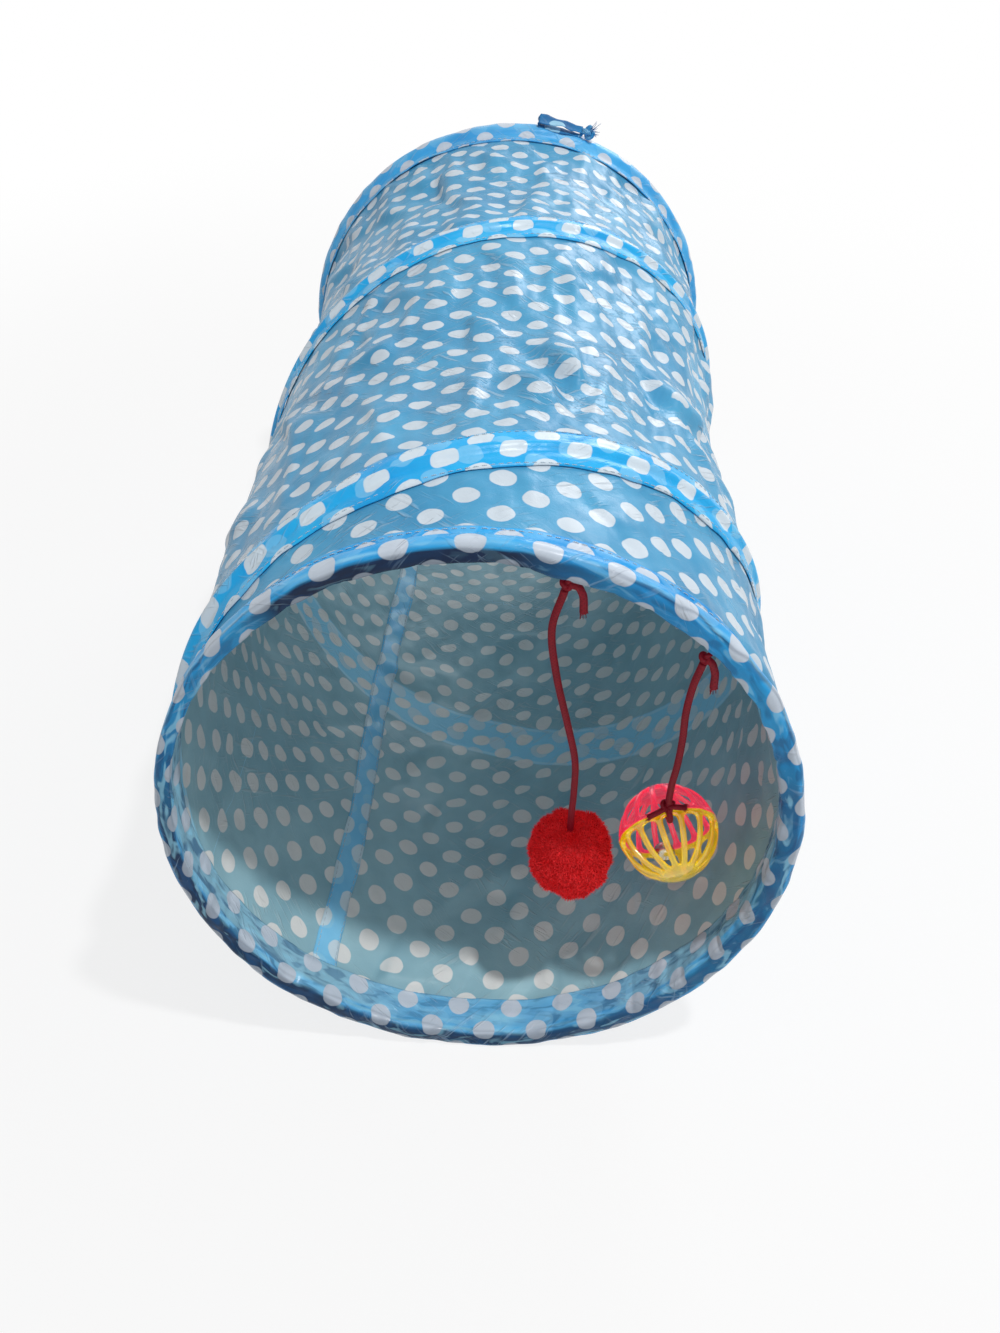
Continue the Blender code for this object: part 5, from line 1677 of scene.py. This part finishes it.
def hem_layers(rim):
    """A hem's uv layers: its own cloth, the tunnel under it, and how far each of its colours reaches."""
    walked, crest, bottom, seed = rim.walked[None, :], rim.crest, rim.bottom, rim.seed
    angle = np.arange(HEM_COLUMNS + 1)[:, None] / HEM_COLUMNS * 2 * math.pi
    share = np.append(rim.share, 1.0)[:, None]
    around = (angle - SEAM_ANGLE) * TUBE_RADIUS
    ragged = 0.0006 * Ripple(seed + 6, 90).at(share)
    light = np.clip(Relief(seed + 7, 60, 9).at(share, walked / rim.whole), 0, 1)
    face = (np.clip((walked - rim.face_from + ragged) / 0.0010, 0, 1)
            * np.clip((rim.face_to - walked + ragged) / 0.0010, 0, 1))
    # Painted shade: navy over the gathered face, and along two thin fold lines
    fold_line_shade = around_rim(angle, [-180, -100, -70, -38, -30, 14, 24, 62, 78, 140, 180],
                         [0.5, 0.4, 0.7, 0.6, 0.1, 0.1, 0.9, 0.9, 0.3, 0.3, 0.5])
    fold_lines = sum(np.exp(-((walked - place + 1.5 * ragged) / 0.00055) ** 2)
                     for place in (crest + 0.0012, rim.face_to + 0.0004))
    deep = np.maximum(painted_shade_share(angle) * face, fold_line_shade * fold_lines)
    # Painted highlights: along the fold's lower edge, over the inner layer past it and along the crest
    edge = np.clip(1 - np.abs(walked - bottom - 0.0003) / 0.0022, 0, 1)
    beyond = np.clip((walked - bottom) / 0.0012, 0, 1)
    pale = painted_highlight_share(angle) * np.maximum(edge, beyond * (0.35 + 0.65 * light))
    crest_light = 0.75 * np.clip(1 - np.abs(walked - crest - 0.0004) / 0.0012, 0, 1) * (0.4 + 0.6 * light)
    # Painted light: the lining is as pale as the tunnel's inside at the sides, and bluer below where light
    # comes through
    lining = around_rim(angle, [-180, -165, -148, -60, -40, 50, 70, 135, 160, 180],
                        [0.25, 0.25, 0.85, 0.85, 0.6, 0.6, 0.75, 0.75, 0.25, 0.25])
    # How much of the crumpled rim's painted shade and painted highlight shows, round the rim
    rumpled = around_rim(angle, [-180, -150, -120, -60, -40, 0, 20, 60, 90, 150, 180],
                         [0.4, 0.5, 0.7, 0.8, 0.30, 0.1, 0.35, 0.6, 0.8, 0.6, 0.4])
    # On the rear hem: no lining, less painted pleat shade, and a painted highlight all over
    if rim.rear:
        lining, rumpled = lining * 0, rumpled * 0.35
        pale = np.maximum(pale, 0.10 + 0.22 * light)
    lined = lining * np.clip((walked - bottom - 0.0016) / 0.0012, 0, 1)
    crested = np.clip((walked - crest + 0.0010) / 0.0015, 0.35, 1)
    return {"cloth": pairs_of(around, walked - crest),
            "tunnel": pairs_of(around, cut_length(rim.placed(rim.profile[:, 0]))[None, :]),
            "zone": pairs_of(deep, np.maximum(pale, crest_light)),
            "lining": pairs_of(lined, rumpled * crested)}


def build_hem(name, node, rear, body, seed):
    """A hem folded round its hoop, and the stitches that hold it."""
    rim = Rim(rear, seed)
    outer, inner = hem_grids(rim)
    hem = add_sheet(name, outer, inner, True, [DOUBLED, DOUBLED], hem_layers(rim))
    settle(hem, body, "doubled_cloth", node)
    line = rim.placed(rim.sewn_at - 0.0018)
    path = shell(closed_circle(720), line, 0.0007 + CLOTH)
    stitches = Parts()
    sew(stitches, path, path - shell(closed_circle(720), line, 0.0))
    thread = settle(stitches.build(name + "_stitches", [WHITE_THREAD]), body, "doubled_cloth")


STITCH_PITCH = 0.0031
STITCH_LENGTH = 0.0023
STITCH_RADIUS = 0.00017
# Each ring of a stitch: place along it, height and thickness
STITCH_SHAPE = ((0.0, -0.00016, 0.5), (0.18, 0.00008, 0.9), (0.5, 0.00013, 1.0), (0.82, 0.00008, 0.9),
                (1.0, -0.00016, 0.5))


def sew(parts, path, normals, slot=0):
    """A row of short stitches along a path, each a little bar that dips in at both ends."""
    normals = unit(normals)
    walked = walked_along(path)

    def read(table, mark):
        return np.array([np.interp(mark, walked, table[:, axis]) for axis in range(3)])

    for k in range(int(walked[-1] / STITCH_PITCH)):
        start = (k + 0.15) * STITCH_PITCH
        rings = []
        for part, rise, thick in STITCH_SHAPE:
            mark = start + part * STITCH_LENGTH
            at, up = read(path, mark), read(normals, mark)
            across = unit(np.cross(up, read(path, mark + 0.0005) - at))
            rings.append([at + up * (rise + STITCH_RADIUS * thick * math.sin(tip))
                          + across * STITCH_RADIUS * thick * math.cos(tip)
                          for tip in (0.0, math.pi / 2, math.pi, 3 * math.pi / 2)])
        parts.add_tube(np.array(rings), np.array([part * STITCH_LENGTH for part, _, _ in STITCH_SHAPE]), slot)


def join_meshes(thing, other):
    """Moves the other mesh's shape into this one, keeping both materials."""
    bpy.ops.object.select_all(action="DESELECT")
    other.select_set(True)
    thing.select_set(True)
    bpy.context.view_layer.objects.active = thing
    bpy.ops.object.join()


OVER_HEM_LIFT = 0.0012


def over_hem(along):
    """1 where the casing runs over a hem, and 0 between the hems."""
    inside = np.minimum(along - HEM_EDGE, LENGTH - REAR_HEM_EDGE - along)
    return np.clip((0.0015 - inside) / 0.003, 0, 1)


def casing_grids(surface, turned, across):
    """The casing's outer and inner points, the distance of each behind the front wire, its angles."""
    rise = np.interp(np.abs(across), [0.0, 0.0010, 0.0022, 0.0034, CASING_FOOT, CASING_HALF],
                     [CASING_RIDGE, CASING_RIDGE - 0.0003, 0.0024, 0.0011, 0.0006, 0.0005])
    share = turned / (COIL_TURNS * 2 * math.pi)
    angle = COIL_START_ANGLE + turned[:, None]
    ripple, fine = Ripple(31, 90).at(share)[:, None], Ripple(33, 230).at(share)[:, None]
    across = across[None, :]
    edge = np.sign(across) * np.clip((np.abs(across) - CASING_FOOT) / 0.008, 0, 1)
    along = PITCH * turned[:, None] / (2 * math.pi) + across + edge * (0.0013 * ripple + 0.0004 * fine)
    pucker = np.clip(1 - np.abs(np.abs(across) - 0.0072) / 0.0048, 0, 1)
    sheared = share[:, None] + across * 0.9
    crush = 0.6 * Relief(35, 260, 3).at(sheared, 0.5 + across / 0.03)
    crush = crush + 0.4 * Relief(36, 120, 4).at(sheared, 0.5 + across / 0.03) + 0.4 * fine
    lift = rise[None, :] + pucker * (0.0008 + 0.0010 * crush) + 0.0001
    lift = lift + over_hem(along) * OVER_HEM_LIFT
    along = np.clip(along, RAMP_END + 0.0004, LENGTH - RAMP_END - 0.0004)
    outer, inner = (surface.at(angle, along, lift + off) for off in (CLOTH / 2, -CLOTH / 2))
    return outer, inner, along, angle


def build_casing(surface):
    """The strip that holds the spring: flat sewn edges, a round ridge, small puckers."""
    first = 2 * math.pi * (RAMP_END + 0.0030) / PITCH
    turned = np.linspace(first, COIL_TURNS * 2 * math.pi - first, CASING_COLUMNS)
    half_strip = [0.0005, 0.0014, 0.0024, 0.0034, CASING_FOOT, 0.0065, 0.0085, 0.0105, CASING_HALF]
    across = np.array([-place for place in reversed(half_strip)] + half_strip)
    outer, inner, along, angle = casing_grids(surface, turned, across)
    casing_uv = pairs_of(turned[:, None] * TUBE_RADIUS, across[None, :])
    cloth_uv = pairs_of((angle - SEAM_ANGLE) * TUBE_RADIUS, cut_length(along))
    finish = [DOUBLED_CASING, DOUBLED_CASING, WHITE_THREAD]
    casing = add_sheet("casing_cloth", outer, inner, False, finish,
                       {"casing": casing_uv, "cloth": cloth_uv, "thread": casing_uv})
    stitches = Parts()
    for side in (-1, 1):
        line = PITCH * turned / (2 * math.pi) + side * (CASING_HALF - 0.0016)
        high = 0.0008 + over_hem(line) * OVER_HEM_LIFT
        line = np.clip(line, RAMP_END + 0.0006, LENGTH - RAMP_END - 0.0006)
        path = surface.at(COIL_START_ANGLE + turned, line, high + CLOTH / 2)
        sew(stitches, path, path - surface.at(COIL_START_ANGLE + turned, line, 0.0), 2)
    join_meshes(casing, stitches.build("casing_stitches", finish))
    return divide(casing, "spring_casing", "doubled_cloth")


def build_seam(surface):
    """The felled seam: a doubled strip inside, stitched along both edges."""
    along = np.linspace(HEM_EDGE + 0.0004, LENGTH - REAR_HEM_EDGE - 0.0004, SEAM_ROWS)
    half = SEAM_WIDTH / 2
    across = np.linspace(-half, half, 12)
    share = (along - along[0]) / (along[-1] - along[0])
    wander = (0.0005 * Ripple(41, 24).at(share * 0.99))[:, None] * np.sign(across)[None, :]
    slant = SEAM_SLANT * (share[:, None] - 0.3)
    angle = SEAM_ANGLE + (across[None, :] + wander - slant) / TUBE_RADIUS
    crown = 0.0008 * (1 - (across / half) ** 4)[None, :] + 0.0004
    crown = crown + 0.00025 * Ripple(43, 60).at(share * 0.99)[:, None] * (1 - (across / half) ** 2)[None, :]
    top = surface.at(angle, along[:, None], -CLOTH - crown)
    under = surface.at(angle, along[:, None], -CLOTH - 0.0002)
    seam_uv = pairs_of(along[:, None], across[None, :])
    tunnel_uv = pairs_of((angle - SEAM_ANGLE) * TUBE_RADIUS, cut_length(along)[:, None])
    finish = [SEAM_CLOTH, SEAM_CLOTH, WHITE_THREAD]
    strip = add_sheet("seam_cloth", top, under, False, finish,
                      {"cloth": seam_uv, "tunnel": tunnel_uv, "thread": seam_uv})
    stitches = Parts()
    for side in (-1, 1):
        line = SEAM_ANGLE + (side * (half - 0.0009) - slant[:, 0]) / TUBE_RADIUS
        path = surface.at(line, along, -CLOTH - 0.0010)
        sew(stitches, path, surface.at(line, along, -0.01) - path, 2)
    join_meshes(strip, stitches.build("seam_stitches", finish))
    return divide(strip, "seam_tape", "doubled_cloth")


def build_coil():
    """The spring wire in its casing, smooth all the way."""
    turned = np.linspace(0, COIL_TURNS * 2 * math.pi, 720)
    along = np.clip(PITCH * turned / (2 * math.pi), WIRE + CLEAR, LENGTH - WIRE - CLEAR)
    path = shell(COIL_START_ANGLE + turned, along, WIRE_LIFT - 0.0003)
    parts = Parts()
    parts.add_tube(tube_grid(path, WIRE / 2, 8), walked_along(path))
    divide(parts.build("spring_wire", [STEEL]), "spring_coil", "spring_steel")


TIE_ALONG = LENGTH - (WIRE + CLEAR) / 2
TIE_TOP = Vector(shell(TIE_ANGLE, TIE_ALONG, REST_LIFT + CLEAR + 0.0004))
TIE_SIDE = Vector((math.cos(TIE_ANGLE), 0.0, -math.sin(TIE_ANGLE)))
TIE_UP = Vector((math.sin(TIE_ANGLE), 0.0, math.cos(TIE_ANGLE)))
TIE_ACROSS = Vector((0.0, 1.0, 0.0))
TIE_STRAIGHT = (TIE_LENGTH - TIE_OPENING) / 2
TIE_POINTS = 120


def tie_path():
    """The middle of the strap's loop: two straight runs and two round ends."""
    line = []
    for end in (1, -1):
        for k in range(9):
            turn = math.pi * k / 8 - math.pi / 2
            run = end * (TIE_STRAIGHT + TIE_OPENING / 2 * math.cos(turn))
            line.append((run, 0.0, TIE_OPENING / 2 + end * TIE_OPENING / 2 * math.sin(turn)))
    return resample(smooth_line(line + line[:1], 6), 0.0007)[:-1]


def build_tie_strap():
    """The loop of strap sewn to the rear rim."""
    path = tie_path()
    walked = walked_along(path)
    share = walked / walked[-1]
    ahead = np.roll(path, -1, 0) - np.roll(path, 1, 0)
    out = unit(np.stack([ahead[:, 2], 0 * walked, -ahead[:, 0]], 1))
    widths = np.linspace(-1, 1, 9)
    narrow = 0.5 + 0.5 * np.clip((TIE_STRAIGHT - path[:, 0]) / 0.010, 0, 1)
    # The upper run leans down at the front, least in the middle where the loop stands open
    upper = np.clip(path[:, 2] / TIE_OPENING * 1.6 - 0.6, 0, 1)
    dip = 0.0021 * upper * (1 - 0.75 * np.exp(-((path[:, 0] - 0.001) / 0.0035) ** 2))
    outer, inner = [], []
    for edge in widths:
        cup = 0.0008 * edge ** 2 * (1 + 0.4 * Ripple(51, 9).at(share))
        cup = cup + 0.0003 * Ripple(52, 20).at(share) * edge
        wide = edge * TIE_WIDTH / 2 * narrow * (1 + 0.12 * Ripple(53, 7).at(share))
        for grid, off in ((outer, CLOTH * 0.7), (inner, -CLOTH * 0.7)):
            flat = path + out * cup[:, None] + out * off
            flat[:, 2] -= dip * (1 - edge) / 2
            grid.append(np.array(TIE_TOP) + flat[:, :1] * np.array(TIE_SIDE) + flat[:, 2:] * np.array(TIE_UP)
                        + wide[:, None] * np.array(TIE_ACROSS))
    table = pairs_of(np.append(walked, walked[-1] + 0.0007)[:, None], widths[None, :] * TIE_WIDTH / 2)
    loop = add_sheet("tie_strap", np.stack(outer, 1), np.stack(inner, 1), True, [TIE_CLOTH, TIE_CLOTH],
                     {"cloth": table})
    settle(loop, "rear_rim", "doubled_cloth", "tie_loop")


def build_tie_knot():
    """The strap's knot, and the threads that fray from it."""
    rng = random.Random(21)
    beside = TIE_STRAIGHT + TIE_OPENING / 2 + TIE_STRAP / 2 + TIE_KNOT / 2
    centre = TIE_TOP + TIE_SIDE * beside + TIE_UP * TIE_KNOT_RISE
    turn = Vector((0.5, -0.5, 1.0)).to_track_quat("Z", "Y")
    parts = Parts()
    bight = knot_path(centre, TIE_KNOT * 0.86, turn, TIE_POINTS)
    t = np.linspace(0, 2 * math.pi, TIE_POINTS, endpoint=False)[:, None]
    tips = full_circle(14)[None, :]
    girth = TIE_KNOT * 0.20 * (1 + 0.22 * np.cos(2 * tips + 3 * t) + 0.08 * np.sin(5 * tips - 7 * t))
    parts.add_tube(tube_grid(bight, girth, 14, True), np.linspace(0, 0.05, TIE_POINTS), closed=True)
    for _ in range(22):
        out_way = (TIE_SIDE * rng.uniform(0.2, 1.0) + TIE_UP * rng.uniform(-0.2, 1.0)
                   + TIE_ACROSS * rng.uniform(-0.8, 0.8)).normalized()
        start = centre + out_way * TIE_KNOT * 0.3
        bow = Vector((rng.uniform(-1, 1), rng.uniform(-1, 1), rng.uniform(-1, 0.6))) * 0.0014
        tip = centre + out_way * (TIE_KNOT * 0.45 + rng.uniform(0.001, 0.0048)) + bow
        strand = resample(smooth_line([start, (start + tip) / 2 + bow * 0.5, tip]), 0.0006)
        parts.add_tube(tube_grid(strand, 0.00012, 5), np.linspace(0, 0.006, len(strand)), 1)
    knot = parts.build("tie_knot_cloth", [TIE_CLOTH, BLUE_THREAD], "cloth")
    pairs = np.zeros(len(knot.data.loops) * 2, np.float32)
    thread = knot.data.uv_layers.new(name="thread")
    knot.data.uv_layers["cloth"].data.foreach_get("uv", pairs)
    thread.data.foreach_set("uv", pairs)
    settle(knot, "rear_rim", "doubled_cloth", "tie_knot")


def build_cords():
    pompom_end = (POMPOM_HINGE + Vector((POMPOM_ROUTE[-1][0], 0.0, -POMPOM_DROP))
                  + Vector((0.0, 0.0, POMPOM_HEIGHT / 2 - POMPOM_BORE_DEPTH + CLEAR)))
    build_cord("pompom_string", hung_points(POMPOM_HINGE, POMPOM_ROUTE) + [pompom_end],
               "pompom_swing", "pompom_cord")
    build_cord("ball_string", hung_points(BALL_HINGE, BALL_ROUTE), "ball_swing", "ball_cord")


def build_tunnel():
    surface = settle_cloth()
    cloth = build_cloth(surface)
    build_hem("front_hem_cloth", "front_hem", False, "front", 61)
    build_hem("rear_hem_cloth", "rear_hem", True, "rear_rim", 71)
    casing = build_casing(surface)
    seam = build_seam(surface)
    build_coil()
    build_tie_strap()
    build_tie_knot()


def build_toys():
    build_rim_knot("pompom_knot", POMPOM_ANGLE, POMPOM_HINGE, "pompom_swivel")
    build_rim_knot("ball_knot", BALL_ANGLE, BALL_HINGE, "ball_swivel")
    build_pompom()
    build_ball_half("ball_yellow", 1, YELLOW, "clear_yellow", "ball_half_yellow")
    build_ball_half("ball_pink", -1, PINK, "clear_pink", "ball_half_pink")
    build_ball_tie()
    build_bell("bell_upper", 1, "bell_top")
    build_bell("bell_lower", -1, "bell_bottom")


def build_all():
    build_camera()
    build_studio()
    build_floor()
    build_cords()
    build_tunnel()
    build_toys()
    for node in ("front_hoop", "rear_hoop", "front_ferrule", "rear_ferrule", "bell_pellet"):
        dress(node, STEEL)
    for node in ("pompom_anchor", "ball_anchor"):
        dress(node, ELASTIC)


build_all()
